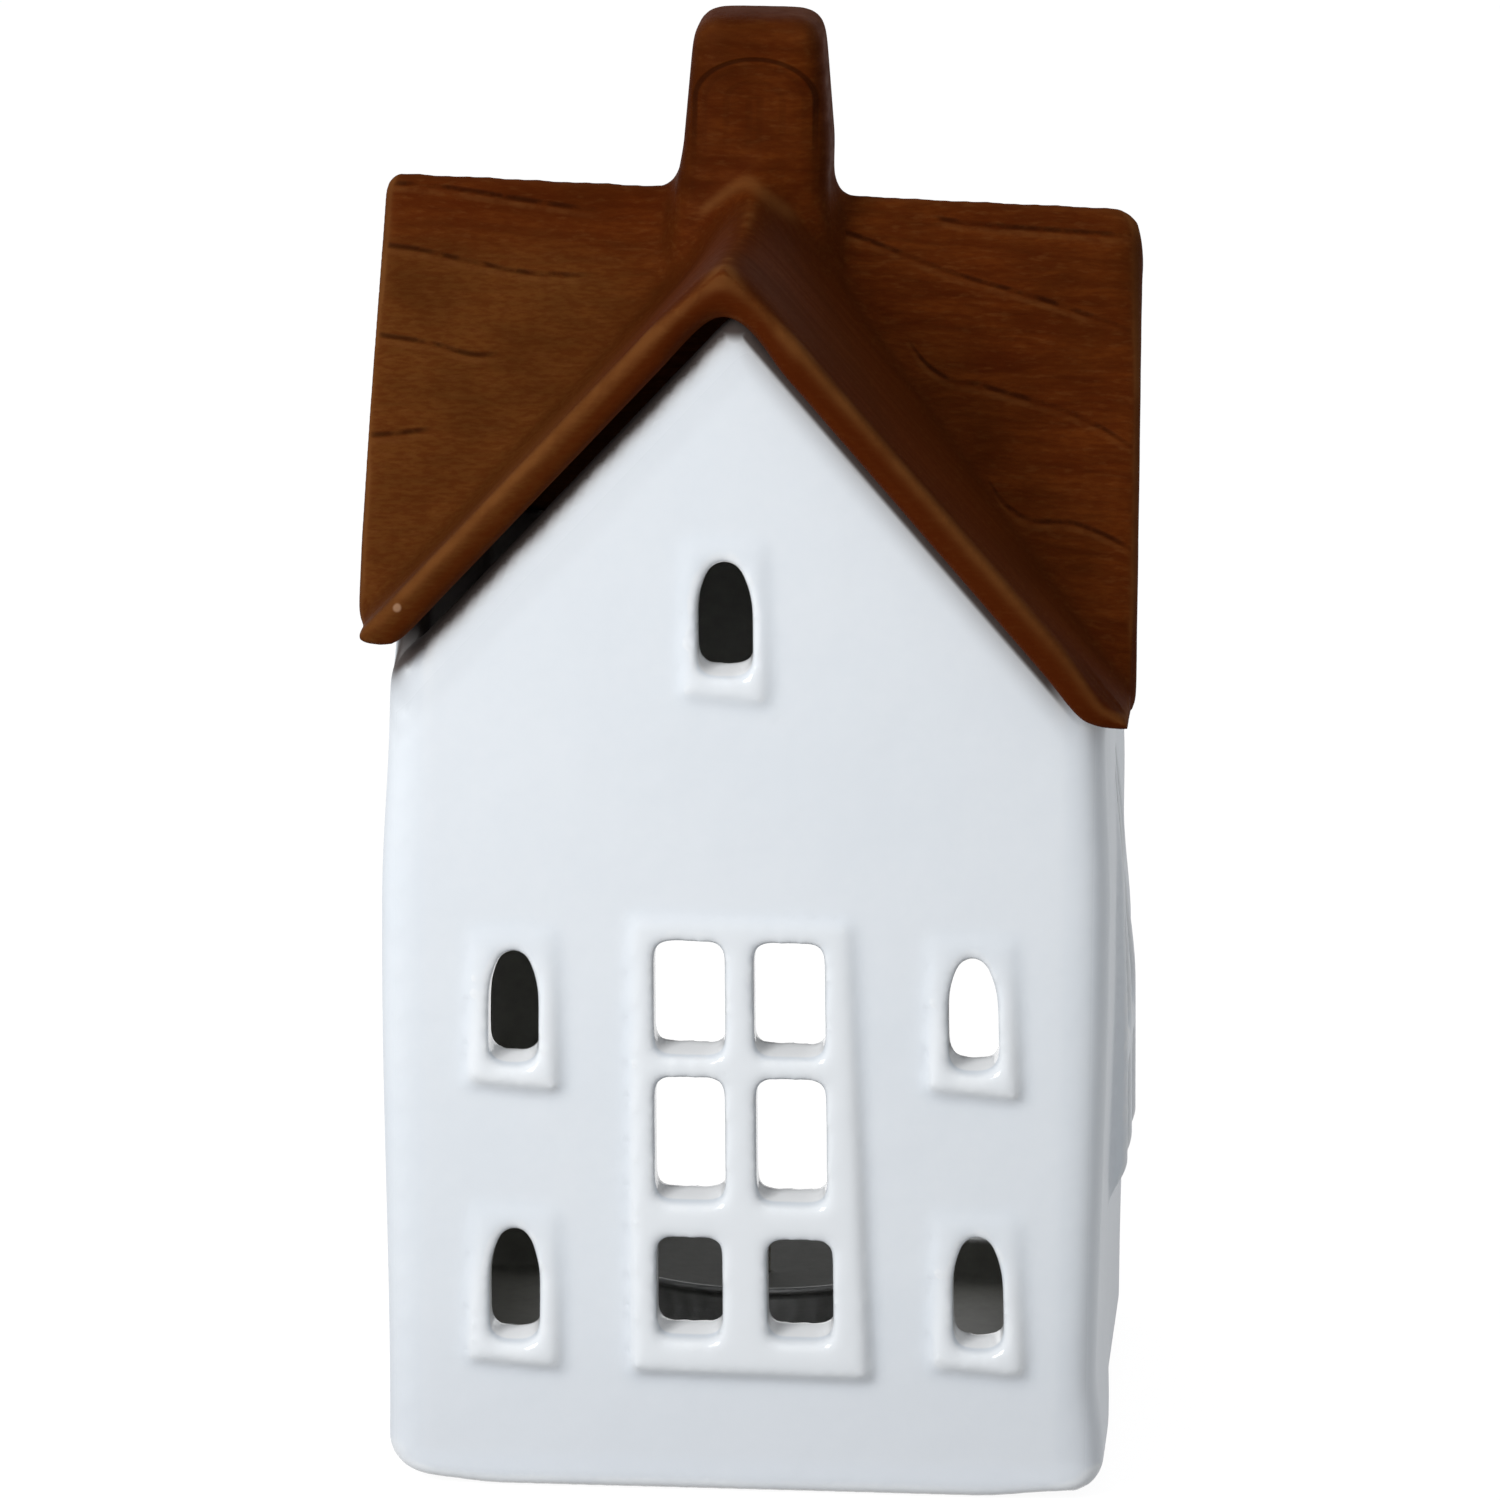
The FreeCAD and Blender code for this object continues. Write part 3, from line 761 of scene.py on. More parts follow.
def tip_drawn(places):
    """Right eave's front end drawn down by up to TIP_DROP and out by up to TIP_SPREAD.

    It moves out no further than TIP_END_X, in line with the main roof's end.
    """
    x, y, height = places.T
    low = smooth_step(*TIP_Z, height)
    overhang = smooth_step(*TIP_OVERHANG_X, x) * smooth_step(*TIP_OVERHANG_Y, y)
    drop = np.maximum(overhang, smooth_step(*TIP_EDGE_X, x))
    spread = smooth_step(*TIP_SPREAD_X, x) * smooth_step(*TIP_SPREAD_Y, y)
    height -= TIP_DROP * drop * low
    x[:] = np.maximum(x, np.minimum(x + TIP_SPREAD * spread * low, TIP_END_X))
    return places


def shaped_roof(mesh, places, ends):
    """Roof's corners with a broad front ridge, worn ends and filled valleys."""
    places = tip_drawn(crest_raised(places))
    places = softened_part(places, ends, RIDGE_SMOOTHING_STEPS, front_ridge(places))
    places = softened_part(places, ends, RIDGE_EVENING_STEPS, main_ridge(places), RIDGE_REGAIN)
    places = ridge_ends_rounded(places)
    shift = ROOF_SHIFT * smooth_step(*ROOF_SHIFT_Z, places[:, 2])
    places[:, 0] = np.maximum(places[:, 0] - shift, CAD_BOX[0][0] + ROOF_MARGIN)
    return valleys_filled(mesh, places, ends, VALLEY_FILLING_STEPS)


def soft_shell(node_name, smoothing_steps, reshape, bend_steps):
    """Cast shell's mesh: the CAD solid in small cells, softened, reshaped and thinned out."""
    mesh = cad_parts[node_name].data.copy()
    mesh.materials.clear()
    mesh = corners_merged(mesh, CAD_MERGE)
    mesh.transform(GRID_TURN)
    mesh = with_modifier(mesh, "REMESH", mode="VOXEL", voxel_size=SHELL_VOXEL, adaptivity=0.0)
    mesh.transform(GRID_TURN.inverted())
    places, ends = mesh_arrays(mesh)
    places = reshape(mesh, softened(places, ends, smoothing_steps), ends)
    mesh.vertices.foreach_set("co", places.ravel())
    mesh.update()
    triangles = 2 * len(mesh.polygons)
    if triangles > SHELL_TRIANGLES:
        mesh = with_modifier(mesh, "DECIMATE", ratio=SHELL_TRIANGLES / triangles)
    mark_bends(mesh, bend_steps)
    store(mesh, "upper", smooth_step(*UPPER_FACING, corner_normals(mesh)[:, 2]))
    return mesh


def mark_roof_parts(mesh):
    """Stores where the roof belongs to its front gable and to its chimney."""
    places, ends = mesh_arrays(mesh)
    normals = corner_normals(mesh)
    x, y, height = places.T
    chimney = smooth_step(*CHIMNEY_EDGE, np.abs(x)) * smooth_step(*CHIMNEY_EDGE, np.abs(y))
    chimney *= smooth_step(*CHIMNEY_Z, height)
    sideways = np.abs(normals[:, 0]) > np.abs(normals[:, 1])
    fascia = (normals[:, 1] < FASCIA_FACING) & (y < FASCIA_Y)
    gable = ((sideways | fascia) & (y < 0)).astype(float)[:, None]
    for _ in range(GABLE_SPREAD_STEPS):
        gable = neighbour_mean(gable, ends)
    store(mesh, "gable", gable[:, 0] * (1 - chimney))
    store(mesh, "chimney", chimney)
    return mesh


def arc(centre, radius, start, end, count):
    """Points (radius, height) on an arc between two angles in degrees."""
    angles = np.radians(np.linspace(start, end, count))
    return np.array(centre) + radius * np.stack((np.cos(angles), np.sin(angles)), axis=1)


def upright(radius, start, end, count):
    """Points (radius, height) on an upright line between two heights."""
    return np.stack((np.full(count, radius), np.linspace(start, end, count)), axis=1)


def turned(profile, count, ripple=None):
    """Mesh turned from a profile of (radius, height) points about the upright axis.

    Corner (i, j) lies at angle 2 pi j / count, at profile point i, moved outwards by the ripple
    ripple(height_i, angle_j). A profile whose ends are on the axis closes in a pole there, and
    any other profile closes on itself.
    """
    radii, heights = np.asarray(profile, dtype=float).T
    angles = np.arange(count) * 2 * math.pi / count
    grid = np.repeat(radii[:, None], count, axis=1)
    if ripple:
        grid = grid + ripple(heights[:, None], angles[None, :]) * (grid > 0)
    points = np.stack((grid * np.cos(angles), grid * np.sin(angles),
                       np.repeat(heights[:, None], count, axis=1)), axis=2)
    rows = len(radii)
    number = np.arange(rows * count).reshape(rows, count)
    lower = number if radii[0] > 0 else number[:-1]
    upper = np.roll(number, -1, axis=0)[:len(lower)]
    faces = np.stack((lower, np.roll(lower, -1, axis=1), np.roll(upper, -1, axis=1), upper), axis=2)
    mesh = bpy.data.meshes.new("turned")
    mesh.from_pydata((points.reshape(-1, 3) * MM).tolist(), [], faces.reshape(-1, 4).tolist())
    return corners_merged(mesh, TURNED_MERGE)


def cup_mesh():
    """Pressed cup: rounded foot, fluted wall and rolled rim, one thin sheet throughout.

    The flutes move the wall in by up to CUP_FLUTE_DEPTH, as the cosine of CUP_FLUTES times the
    angle, and fade out at both ends of the wall.
    """
    low = FLOOR_LEVEL / MM
    top = low + CUP_HEIGHT
    wall_low = low + 1.4
    wall_top = top - 1.6
    inner = CUP_RADIUS - CUP_SHEET
    foot = 0.9
    bead = 0.42
    bead_outwards = 0.14
    profile = np.concatenate((
        [(0, low)],
        arc((CUP_RADIUS - foot, low + foot), foot, -90, 0, 6),
        upright(CUP_RADIUS, wall_low, wall_top, 12),
        arc((CUP_RADIUS + bead - bead_outwards, top - bead), bead, -150, 150, 13),
        upright(inner, wall_top, wall_low, 12),
        arc((inner - foot + CUP_SHEET, low + foot), foot - CUP_SHEET, 0, -90, 6),
        [(0, low + CUP_SHEET)],
    ))

    def flutes(height, angle):
        ends = smooth_step(low + 1, low + 2.5, height) - smooth_step(top - 2.5, top - 1.2, height)
        return 0.5 * CUP_FLUTE_DEPTH * ends * (np.cos(CUP_FLUTES * angle) - 1)
    return turned(profile, 10 * CUP_FLUTES, flutes)


def wax_mesh():
    """Wax fill: a shallow dish that climbs a little at the wick, open round the tab and wick."""
    low = FLOOR_LEVEL / MM + CUP_SHEET
    top = FLOOR_LEVEL / MM + WAX_TOP
    hole = WICK_RADIUS + WICK_GAP
    collar = TAB_COLLAR_RADIUS + WICK_GAP
    tab = TAB_RADIUS + WICK_GAP
    tab_level = low + TAB_SHEET + WICK_GAP
    collar_level = FLOOR_LEVEL / MM + TAB_TOP + WICK_GAP
    foot = 0.8
    shoulder = 0.35
    climb = 0.35
    climb_reach = 0.6
    across = np.linspace(WAX_RADIUS - 0.5, hole, 40)
    dish = top - smooth_step(WAX_DISH_RADIUS + 3, 0.4 * WAX_DISH_RADIUS, across)
    dish += climb * np.exp((hole - across) / climb_reach)
    profile = np.concatenate((
        [(tab, low)],
        arc((WAX_RADIUS - foot, low + foot), foot, -90, 0, 6),
        arc((WAX_RADIUS - shoulder, top - shoulder), shoulder, 0, 60, 5),
        np.stack((across, dish), axis=1),
        [(hole, collar_level), (collar, collar_level), (collar, tab_level), (tab, tab_level)],
    ))
    return turned(profile, 96)


def tab_mesh():
    """Pressed tab: a thin disc, turned up in its middle to a collar round the wick."""
    low = FLOOR_LEVEL / MM + CUP_SHEET
    level = low + TAB_SHEET
    top = FLOOR_LEVEL / MM + TAB_TOP
    hole = WICK_RADIUS + WICK_GAP
    half_sheet = 0.5 * TAB_SHEET
    lip = 0.5 * (TAB_COLLAR_RADIUS - hole)
    bend = 0.8
    profile = np.concatenate((
        [(0, low)],
        arc((TAB_RADIUS - half_sheet, low + half_sheet), half_sheet, -90, 90, 9),
        arc((TAB_COLLAR_RADIUS + bend, level + bend), bend, -90, -180, 7),
        arc((TAB_COLLAR_RADIUS - lip, top - lip), lip, 0, 180, 9),
        [(hole, level), (0, level)],
    ))
    return turned(profile, 72)


def wick_mesh():
    """Braided wick: a round cord whose surface is the higher of two crossing sets of strands.

    The strands run as sin(2 angle + turns) and sin(2 angle - turns), with turns = WICK_TWIST
    times the height.
    """
    low = FLOOR_LEVEL / MM + CUP_SHEET + TAB_SHEET
    top = FLOOR_LEVEL / MM + WICK_TOP
    tip = 0.45
    profile = np.concatenate((
        [(0, low)],
        upright(WICK_RADIUS, low, top - tip, 150),
        arc((WICK_RADIUS - tip, top - tip), tip, 15, 90, 5),
        [(0, top)],
    ))

    def strands(height, angle):
        turns = WICK_TWIST * height
        raised = np.maximum(np.abs(np.sin(2 * angle + turns)), np.abs(np.sin(2 * angle - turns)))
        return WICK_STRAND_DEPTH * (np.sqrt(raised) - 1)
    return turned(profile, 40, strands)


def edge_group():
    """Masks of outward edges, where glaze runs thin, and of hollows, where it gathers."""
    thin_from, thin_to = THIN_BEND
    values = {"Bend": 0.0, "Thin From": thin_from, "Thin To": thin_to}
    group, source, end = new_group("glazed_edges", values, ("Thin", "Gathered"))
    broken = stretch(noise(source["Place"], 0.16), 0.3, 0.6, 0.55, 1.0)
    bent = stretch(source["Bend"], source["Thin From"], source["Thin To"])
    feed(end, Thin=product(bent, broken), Gathered=stretch(source["Bend"], *GATHERED_BEND))
    return group


def mottle_group():
    """Uneven tone from 0 to 1: wide clouds with finer ones in them."""
    group, source, end = new_group("mottle", {"Fine Share": 0.5}, ("Tone",))
    wide = noise(source["Place"], 0.06, 2.0)
    fine = noise(source["Place"], 0.7)
    tone = blended(source["Fine Share"], wide, fine)
    feed(end, Tone=stretch(tone, 0.3, 0.7))
    return group


def drawn_metal_group():
    """Fine lines round a turned piece, from 0 to 1, with a few deeper scratches across them."""
    group, source, end = new_group("drawn_metal", {}, ("Lines", "Scratches"))
    place = source["Place"]
    x, y, z = parted(place)
    squares = calculation("ADD", product(x, x), product(y, y))
    radius = calculation("SQRT", squares)
    angle = calculation("ARCTAN2", y, x)
    scratches = stretch(noise(place, SCRATCH_GRAIN, 4.0), 0.66, 0.72)
    feed(end, Lines=noise(joined(angle, radius, z), DRAWN_LINES), Scratches=scratches)
    return group


def eave_shade(tree, x, y, z):
    """Masks of the painted shade under the lid's front slopes, which fades downwards, and of dull
    glaze.

    The painted shade is a thin dark line on the right, where the lid lies on the wall, and broad
    on the left, where it stands off. It also covers the walls' sloping rims, apart from the right
    front corner.
    """
    # Painted shade on the right: a dark line and a soft shade below the lid's edge
    below_lid = calculation("MULTIPLY_ADD", x, EAVE_LINE_SLOPE, z)
    below_lid = calculation("SUBTRACT", EAVE_LINE_Z, below_lid)
    right = greatest(stretch(below_lid, *RIGHT_LINE), stretch(below_lid, *RIGHT_SHADE))
    right = product(right, stretch(x, *RIGHT_START_X), stretch(x, *RIGHT_END_X))

    below_top = calculation("MULTIPLY_ADD", x, -WALL_TOP_SLOPE, z)
    below_top = calculation("SUBTRACT", WALL_TOP_Z, below_top)
    on_left = stretch(x, *LEFT_START_X)
    left = product(stretch(below_top, *LEFT_PAINTED_SHADE), on_left)
    tip = product(stretch(z, *WALL_TIP_Z), stretch(apart(x, WALL_TIP_X), *WALL_TIP_ASIDE))
    outside = stretch(y, *FRONT_FACE_Y)
    front = product(greatest(left, tip, right), outside)
    dulled = product(stretch(below_top, *LEFT_DULL), on_left, outside)

    # Painted shade on the walls' rims, except at the right front corner
    nearer = calculation("MINIMUM", size_of(x), size_of(y))
    top = stretch(calculation("MULTIPLY_ADD", nearer, WALL_TOP_SLOPE, z), *RIM_Z)
    corner = stretch(calculation("SUBTRACT", x, y), *WHITE_CORNER)
    return greatest(front, product(top, corner, stored(tree, "upper"))), dulled


def white_glaze():
    """Glossy white glaze, a little darker where it gathers, over a dark inside.

    It carries painted shade near the foot, under the lid and in the inside's upper corners, and
    painted light on the raised plates and in the window reveals.
    """
    material, tree, shader = new_material("white_glaze")
    place = millimetres(tree)
    x, y, z = parted(place)
    aside = size_of(x)
    tone = use_group(MOTTLE, place, 0.35)["Tone"]
    edges = use_group(EDGES, place, stored(tree, "bend"))
    # Glaze gathered in hollows, and painted shade near the foot
    gathered_and_shaded = greatest(product(edges["Gathered"], HOLLOW_GATHERED), stretch(z, *FOOT_SHADE_Z))
    # Thin glaze on outward edges, and painted light on the raised plates
    thin = greatest(stretch(y, *RAISED_PLATE_Y), edges["Thin"])
    # Painted light in the window reveals
    reveal = product(stretch(y, *REVEAL_Y), stretch(aside, *REVEAL_X))
    # Painted shade under the lid's slopes and on the walls' rims
    painted_shade, dulled = eave_shade(tree, x, y, z)
    across = greatest(calculation("SUBTRACT", aside, BELLY / MM), size_of(y))
    inside = product(stretch(across, *INSIDE_EDGE), stretch(z, *INSIDE_Z))
    # Painted shade in the inside's upper corners
    corner = product(stretch(aside, *INSIDE_SHADE_CORNER_X), stretch(z, *INSIDE_SHADE_CORNER_Z))
    white = painted(
        mixed(tone, WHITE_DEEP, WHITE_PALE),
        (gathered_and_shaded, WHITE_GATHERED_AND_SHADED),
        (thin, WHITE_THIN_AND_LIT),
        (reveal, WHITE_REVEAL),
        (spot(place, SPECK_PLACE, SPECK_RADIUS, 0.8), SPECK_COLOUR),
        (painted_shade, GAP_SHADE),
        (inside, painted(mixed(tone, INSIDE_DARK, INSIDE_PALE), (corner, GAP_SHADE))),
    )
    dull = greatest(inside, stretch(aside, *SIDE_DULL_X), dulled)
    rough = calculation("MULTIPLY_ADD", painted_shade, SHADE_ROUGHNESS, stretch(dull, *WHITE_ROUGHNESS))
    coat = stretch(greatest(dull, painted_shade), *WHITE_COAT)
    feed(shader, Base_Color=white, Roughness=rough, Coat_Weight=coat, Coat_Roughness=0.05)
    ripples = product(noise(place, 0.8, 2.0), 0.08)
    bumped(shader, calculation("ADD", noise(place, 0.14, 2.0), ripples), 0.35, 0.35 * MM)
    return material


def grain_line(x, drop, points):
    """Masks of one dark line on the main roof's front slope and of the pale edge below it.

    Its points are (x, drop below the ridge) in millimetres; the line fades at both ends.
    """
    start, end = points[0][0], points[-1][0]
    along = stretch(x, start, end, easing="LINEAR")
    curve = new_node("ShaderNodeFloatCurve", 1.0, along)
    steps = [((place - start) / (end - start), depth / GRAIN_REACH) for place, depth in points]
    line = curve.mapping.curves[0].points
    line[0].location = steps[0]
    line[-1].location = steps[-1]
    for step in steps[1:-1]:
        line.new(*step)
    curve.mapping.update()
    centre = product(curve.outputs["Value"], GRAIN_REACH)
    below = calculation("SUBTRACT", drop, centre)
    dark = stretch(size_of(below), *GRAIN_DARK)
    pale = stretch(apart(below, GRAIN_PALE_BELOW), *GRAIN_PALE)
    fade = product(stretch(along, *GRAIN_START), stretch(along, *GRAIN_END))
    return product(dark, fade), product(pale, fade)


def grain_lines(place, x, y, drop, gable):
    """Masks of all the carved lines and of their pale edges, broken here and there."""
    masks = [grain_line(x, drop, points) for points in GRAIN_LINES]
    lines, pale_edges = (greatest(*kind) for kind in zip(*masks))
    broken = stretch(noise(place, 0.35), 0.35, 0.6, 0.25, 1.0)
    front = product(stretch(y, *FRONT_SLOPE_Y), stretch(gable, 0.5, 0.2), broken)
    return product(lines, front), product(pale_edges, front, PALE_EDGE_STRENGTH)


def grain_arches(x, z, chimney):
    """Nested arches of grain on the chimney, the outermost one strongest."""
    aside = product(calculation("ADD", x, -ARCH_CENTRE_X), 1 / ARCH_HALF_WIDTH)
    above = product(calculation("ADD", z, -ARCH_SPRING_Z), 1 / ARCH_RISE)
    above = greatest(above, 0.0)
    squares = calculation("ADD", product(aside, aside), product(above, above))
    reach = calculation("SQRT", squares)
    outer = stretch(apart(reach, 1.0), *ARCH_LINE)
    rings = calculation("SINE", product(reach, RING_WAVE))
    inner = product(stretch(rings, 0.2, 1.0), stretch(reach, *RING_REACH))
    return product(greatest(outer, inner), stretch(z, *ARCH_LEGS_Z), chimney)


def crest_line(x, y, z):
    """Mask of the worn crest where the front ridge runs up against the chimney."""
    aside = calculation("ADD", x, -GABLE_APEX_X / MM)
    aside = calculation("MULTIPLY_ADD", aside, aside, CREST_ROUNDING)
    aside = calculation("SQRT", aside)
    above = calculation("MULTIPLY_ADD", aside, CREST_SLOPE, z)
    line = stretch(apart(above, CREST_Z), CREST_HALF_WIDTH, 0.0, 0.0, CREST_STRENGTH)
    return product(line, stretch(y, *CREST_BACK_Y),
                   stretch(y, *CREST_FRONT_Y), stretch(aside, *CREST_ASIDE))


def wood_fibre(place, drop, beside, under, gable, chimney):
    """Fibre from 0 to 1 along the main slopes, down the gable's slopes and across the chimney."""
    x, y, _ = parted(place)
    wander = calculation("SUBTRACT", noise(place, FIBRE_WANDER, 2.0), 0.5)
    level = calculation("MULTIPLY_ADD", wander, FIBRE_WANDER_REACH, drop)
    slope_fibre = noise(joined(x, y, level), SLOPE_FIBRE, 5.0, 0.65)
    gable_fibre = noise(joined(beside, y, under), GABLE_FIBRE, 4.0, 0.6)
    gable_fibre = calculation("MULTIPLY_ADD", gable_fibre, 0.4, 0.28)
    stack_fibre = noise(place, STACK_FIBRE, 4.0, 0.6)
    fibre = blended(gable, slope_fibre, gable_fibre)
    return stretch(blended(chimney, fibre, stack_fibre), 0.22, 0.78)


def front_edge(y, beside, under, tone):
    """Masks of the reddish lower half of the lid's front edge, and of its upper half.

    The upper half is worn and carries a painted highlight, most at the apex.
    """
    face = stretch(y, *EDGE_FACE_Y)
    # Wear with a painted highlight on the upper half, strongest at the apex
    worn = product(stretch(under, *FRONT_EDGE_WEAR_AND_HIGHLIGHT), face, stretch(beside, *FRONT_EDGE_FADE),
                   stretch(tone, 0.0, 1.0, 0.5, 1.0))
    return product(stretch(under, *FRONT_EDGE_RED), face), worn


def brown_glaze():
    """Satin brown glaze over carved grain, so that the roof looks like oiled wood.

    It carries painted shade on the gable, in hollows and at the chimney's sides, and a painted
    highlight with the wear on upward-facing edges and on the lid's front edge.
    """
    material, tree, shader = new_material("brown_glaze")
    place = millimetres(tree)
    x, y, z = parted(place)
    tone = use_group(MOTTLE, place, 0.3)["Tone"]
    edges = use_group(EDGES, place, stored(tree, "bend"))
    gable = stored(tree, "gable")
    chimney = stored(tree, "chimney")
    beside = apart(x, GABLE_APEX_X / MM)
    under = calculation("MULTIPLY_ADD", beside, GABLE_SLOPE, z)
    fall = calculation("MULTIPLY_ADD", x, RIDGE_FALL, z)
    drop = calculation("SUBTRACT", RIDGE_HEIGHT / MM, fall)
    grain = wood_fibre(place, drop, beside, under, gable, chimney)

    left = product(stretch(x, *YELLOW_X), stretch(drop, *YELLOW_DROP))
    yellow = calculation("MULTIPLY_ADD", left, YELLOW_LEFT, product(tone, YELLOW_CLOUDS))
    ridge = product(stretch(drop, *RED_RIDGE_DROP), stretch(x, *RED_RIDGE_X))
    stack_edge = product(stretch(apart(x, ARCH_CENTRE_X), *STACK_SHADED), chimney)
    lines, pale_edges = grain_lines(place, x, y, drop, gable)
    carved = greatest(lines, product(grain_arches(x, z, chimney), ARCH_STRENGTH))
    # Reddish lower front edge, and a worn band above it with a painted highlight
    reddish, band = front_edge(y, beside, under, tone)
    # Wear with a painted highlight on upward-facing edges, where the light falls
    thin = product(edges["Thin"], stretch(gable, *GABLE_WEAR_AND_HIGHLIGHT), stored(tree, "upper"))
    brown = painted(
        mixed(grain, BROWN_DEEP, BROWN_PALE),
        (yellow, BROWN_YELLOW),
        (ridge, BROWN_RED),
        (stretch(noise(place, DASH_GRAIN), *DASH_TONE), BROWN_RED),
        (stretch(noise(place, FLECK_GRAIN), *FLECK_TONE), BROWN_WEAR_AND_HIGHLIGHT),
        (stretch(noise(place, 0.05), *CLOUD_TONE), BROWN_SHADED),
        (greatest(product(gable, GABLE_SHADED), stack_edge), BROWN_SHADED),
        (product(edges["Gathered"], HOLLOW_SHADED), BROWN_SHADED),
        (pale_edges, BROWN_WEAR_AND_HIGHLIGHT),
        (product(carved, CARVED_STRENGTH), BROWN_LINE),
        (reddish, BROWN_RED),
        (greatest(thin, band, crest_line(x, y, z)), BROWN_WEAR_AND_HIGHLIGHT),
        (spot(place, PALE_SPOT_PLACE, PALE_SPOT_RADIUS, 0.5), PALE_SPOT_COLOUR),
    )
    feed(shader, Base_Color=brown, Roughness=stretch(grain, 0.0, 1.0, 0.72, 0.58),
         Specular_IOR_Level=0.015)
    fibres = product(grain, stretch(gable, 0.0, 1.0, 0.35, 0.08))
    bumped(shader, calculation("MULTIPLY_ADD", carved, -1.2, fibres), 0.5, 0.25 * MM)
    return material


def cup_aluminium():
    """Bright thin aluminium with the fine lines of its drawing."""
    material, tree, shader = new_material("cup_aluminium")
    place = millimetres(tree)
    marks = use_group(DRAWN_METAL, place)
    tone = use_group(MOTTLE, place, 0.5)["Tone"]
    feed(shader, Base_Color=mixed(tone, ALUMINIUM_DARK, ALUMINIUM_BRIGHT),
         Metallic=1.0, Roughness=stretch(marks["Lines"], 0.3, 0.7, 0.5, 0.65))
    relief = calculation("SUBTRACT", marks["Lines"], marks["Scratches"])
    bumped(shader, relief, 0.3, 0.03 * MM)
    return material


def tab_steel():
    """Tinned sheet steel, duller than the cup."""
    material, tree, shader = new_material("tab_steel")
    lines = use_group(DRAWN_METAL, millimetres(tree))["Lines"]
    feed(shader, Base_Color=mixed(lines, STEEL_DARK, STEEL_BRIGHT), Metallic=1.0,
         Roughness=stretch(lines, 0.3, 0.7, 0.35, 0.5))
    bumped(shader, lines, 0.3, 0.02 * MM)
    return material


def wax():
    """Tealight wax, slightly cloudy and dull, coloured dark grey as painted shade inside the house.
    """
    material, tree, shader = new_material("wax")
    place = millimetres(tree)
    tone = use_group(MOTTLE, place, 0.4)["Tone"]
    feed(shader, Base_Color=mixed(tone, WAX_DEEP, WAX_PALE),
         Roughness=stretch(tone, 0.0, 1.0, 0.8, 0.95), Specular_IOR_Level=0.15)
    bumped(shader, noise(place, 0.5), 0.3, 0.15 * MM)
    return material


def wick_cotton():
    """Waxed cotton with fine fibres along its strands."""
    material, tree, shader = new_material("wick_cotton")
    fibre = noise(millimetres(tree), COTTON_GRAIN)
    cotton = mixed(stretch(fibre, 0.3, 0.7), COTTON_DARK, COTTON_PALE)
    feed(shader, Base_Color=cotton, Roughness=0.8)
    bumped(shader, fibre, 0.5, 0.05 * MM)
    return material


def pale_floor():
    """Pale floor that keeps a faint shadow and otherwise shows as white to the camera."""
    material, tree, shader = new_material("pale_floor")
    seen = seen_directly(tree)
    feed(shader, Base_Color=mixed(seen, FLOOR_COLOUR, FLOOR_SEEN_COLOUR),
         Roughness=0.9, Specular_IOR_Level=0.0, Emission_Color=PURE_WHITE,
         Emission_Strength=product(seen, FLOOR_SEEN_LIGHT))
    return material


def show(name, mesh, body, slot_name, material, *node_names):
    """Object of a finished mesh that rides a body and replaces CAD nodes."""
    mesh.name = name
    mesh.polygons.foreach_set("use_smooth", np.ones(len(mesh.polygons), dtype=bool))
    mesh.materials.append(material)
    piece = placed(name, mesh)
    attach(piece, body)
    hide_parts(*node_names)


def add_floor():
    """Round floor under the house."""
    count = STUDIO_FLOOR_CORNERS
    angle = np.arange(count) * 2 * math.pi / count
    rim = np.stack((STUDIO_FLOOR_RADIUS * np.cos(angle), STUDIO_FLOOR_RADIUS * np.sin(angle),
                    np.full(count, STUDIO_FLOOR_Z)), axis=1)
    mesh = bpy.data.meshes.new("floor")
    mesh.from_pydata(rim.tolist(), [], [list(range(count))])
    mesh.materials.append(pale_floor())
    floor = placed("floor", mesh)


def add_world():
    """Even studio light; the background is white to the camera and in reflections."""
    world = bpy.data.worlds.new("studio")
    world.use_nodes = True
    tree = world.node_tree
    strength = stretch(seen_directly(tree), 0.0, 1.0, EVEN_LIGHT, 1.0)
    feed(tree.nodes["Background"], Color=PURE_WHITE, Strength=strength)
    bpy.context.scene.world = world


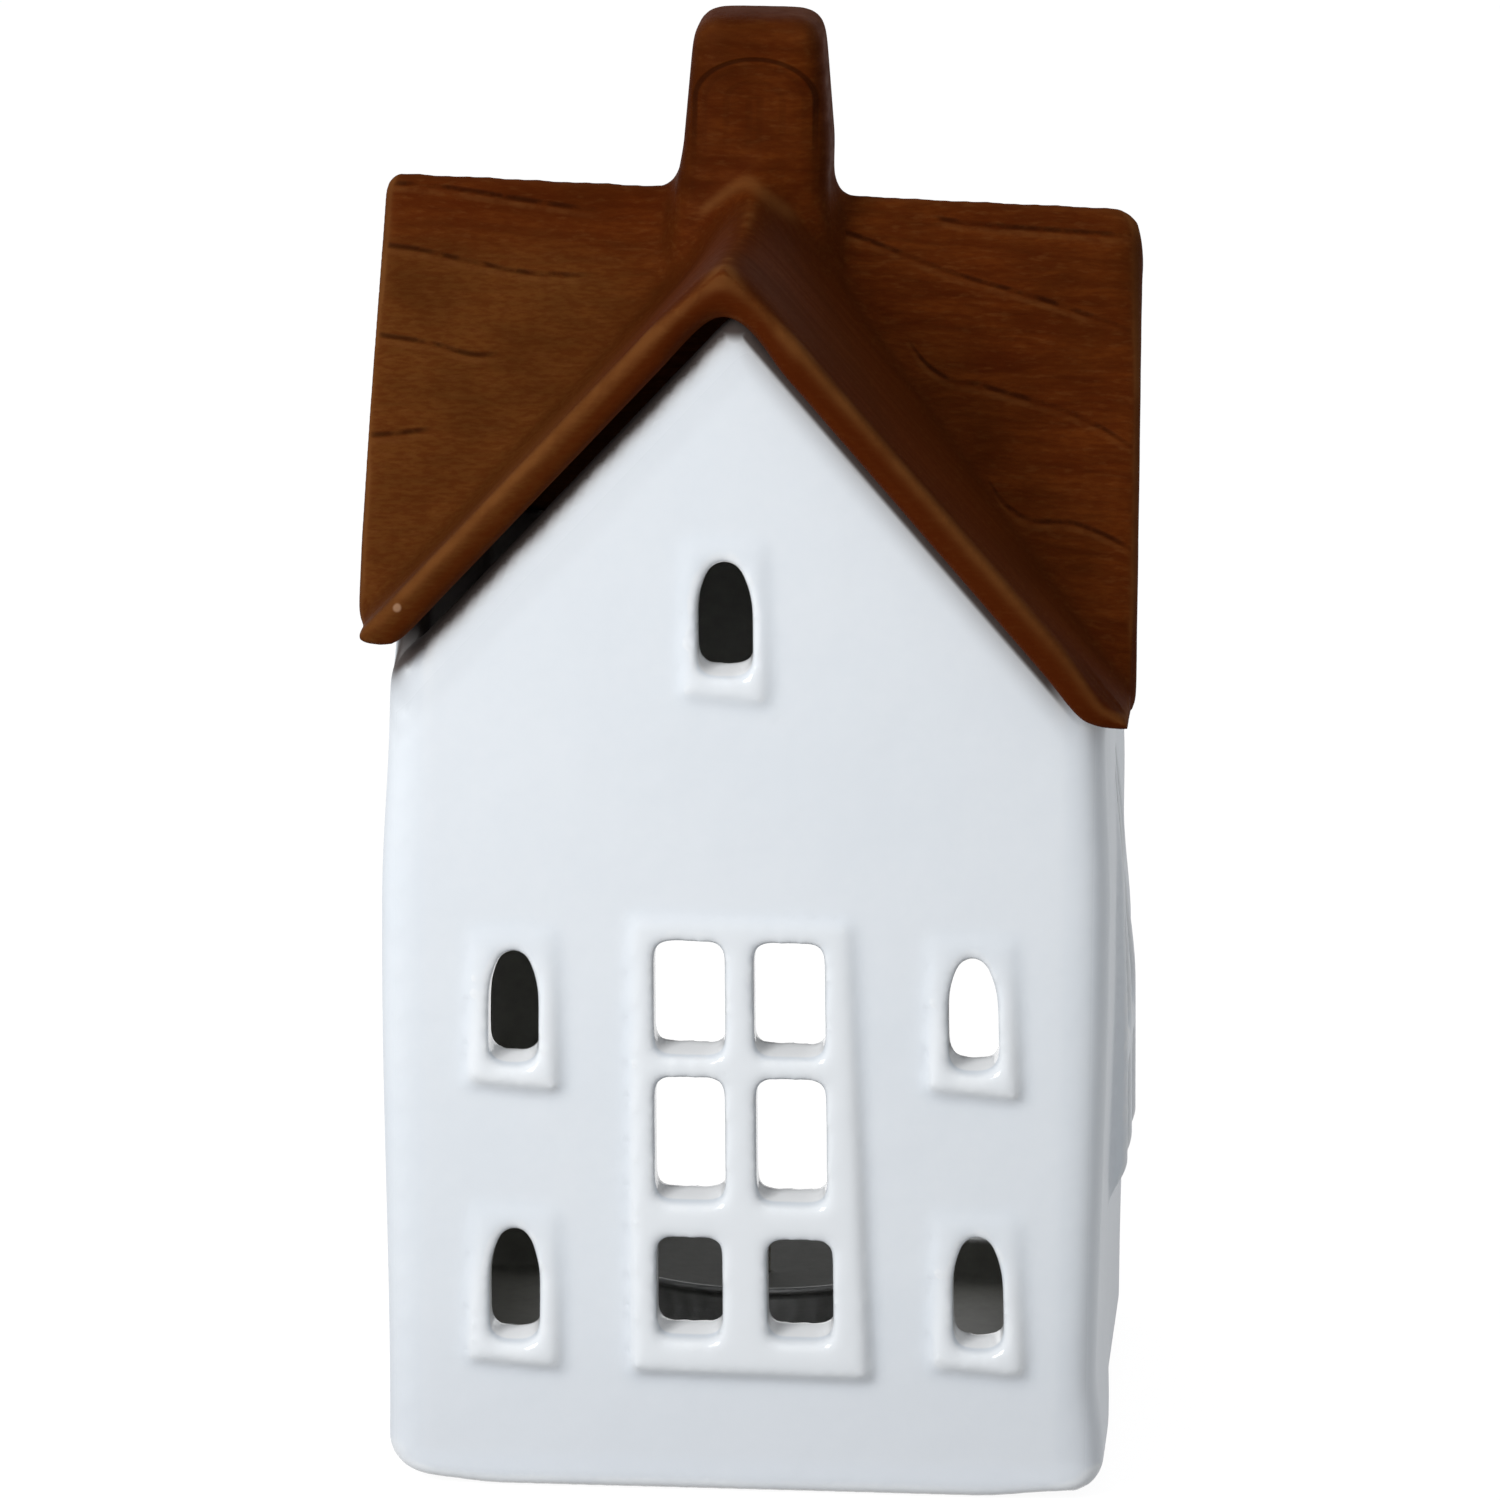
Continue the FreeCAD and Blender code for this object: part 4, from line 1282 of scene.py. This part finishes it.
def add_key_lamp():
    """Square soft lamp, turned to its aim."""
    data = bpy.data.lights.new("key", "AREA")
    data.size = KEY_SIZE
    data.energy = KEY_POWER
    lamp = placed("key", data)
    lamp.location = KEY_PLACE
    away = Vector(np.array(KEY_AIM) - np.array(KEY_PLACE))
    lamp.rotation_euler = away.to_track_quat("-Z", "Y").to_euler()


def add_camera():
    """Camera at the photograph's angle, with its slight roll."""
    side = math.sin(CAMERA_AZIMUTH)
    front = math.cos(CAMERA_AZIMUTH)
    level = math.cos(CAMERA_ELEVATION)
    forward = np.array((-side * level, front * level, -math.sin(CAMERA_ELEVATION)))
    right = np.array((front, side, 0.0))
    up = np.cross(right, forward)
    rolled_right = math.cos(CAMERA_ROLL) * right + math.sin(CAMERA_ROLL) * up
    rolled_up = math.cos(CAMERA_ROLL) * up - math.sin(CAMERA_ROLL) * right
    data = bpy.data.cameras.new("camera")
    data.sensor_width = SENSOR_WIDTH_MM
    data.lens = SENSOR_WIDTH_MM * FOCAL_PIXELS / PHOTO_PIXELS
    data.clip_start = CAMERA_NEAR
    data.clip_end = CAMERA_FAR
    camera = placed("camera", data)
    turn = Matrix(np.stack((rolled_right, rolled_up, -forward), axis=1).tolist()).to_4x4()
    camera.matrix_world = Matrix.Translation(CAMERA_AIM - forward * CAMERA_DISTANCE) @ turn
    bpy.context.scene.camera = camera


EDGES = edge_group()
MOTTLE = mottle_group()
DRAWN_METAL = drawn_metal_group()

show("house_shell", soft_shell("house_body", BODY_SMOOTHING_STEPS, bulged_body, BODY_BEND_STEPS),
     "house", "white_glaze", white_glaze(), "house_body")
show("roof_shell",
     mark_roof_parts(soft_shell("roof_lid", ROOF_SMOOTHING_STEPS, shaped_roof, ROOF_BEND_STEPS)),
     "roof", "brown_glaze", brown_glaze(), "roof_lid")
show("cup_shell", cup_mesh(), "tealight", "cup_aluminium", cup_aluminium(), "tealight_cup")
show("wax_fill", wax_mesh(), "tealight", "wax", wax(), "tealight_wax")
show("wick_holder", tab_mesh(), "tealight", "tab_steel", tab_steel(), "wick_tab")
show("braided_wick", wick_mesh(), "tealight", "wick_cotton", wick_cotton(), "wick")

add_floor()
add_world()
add_key_lamp()
add_camera()

bpy.context.scene.view_settings.view_transform = "Standard"
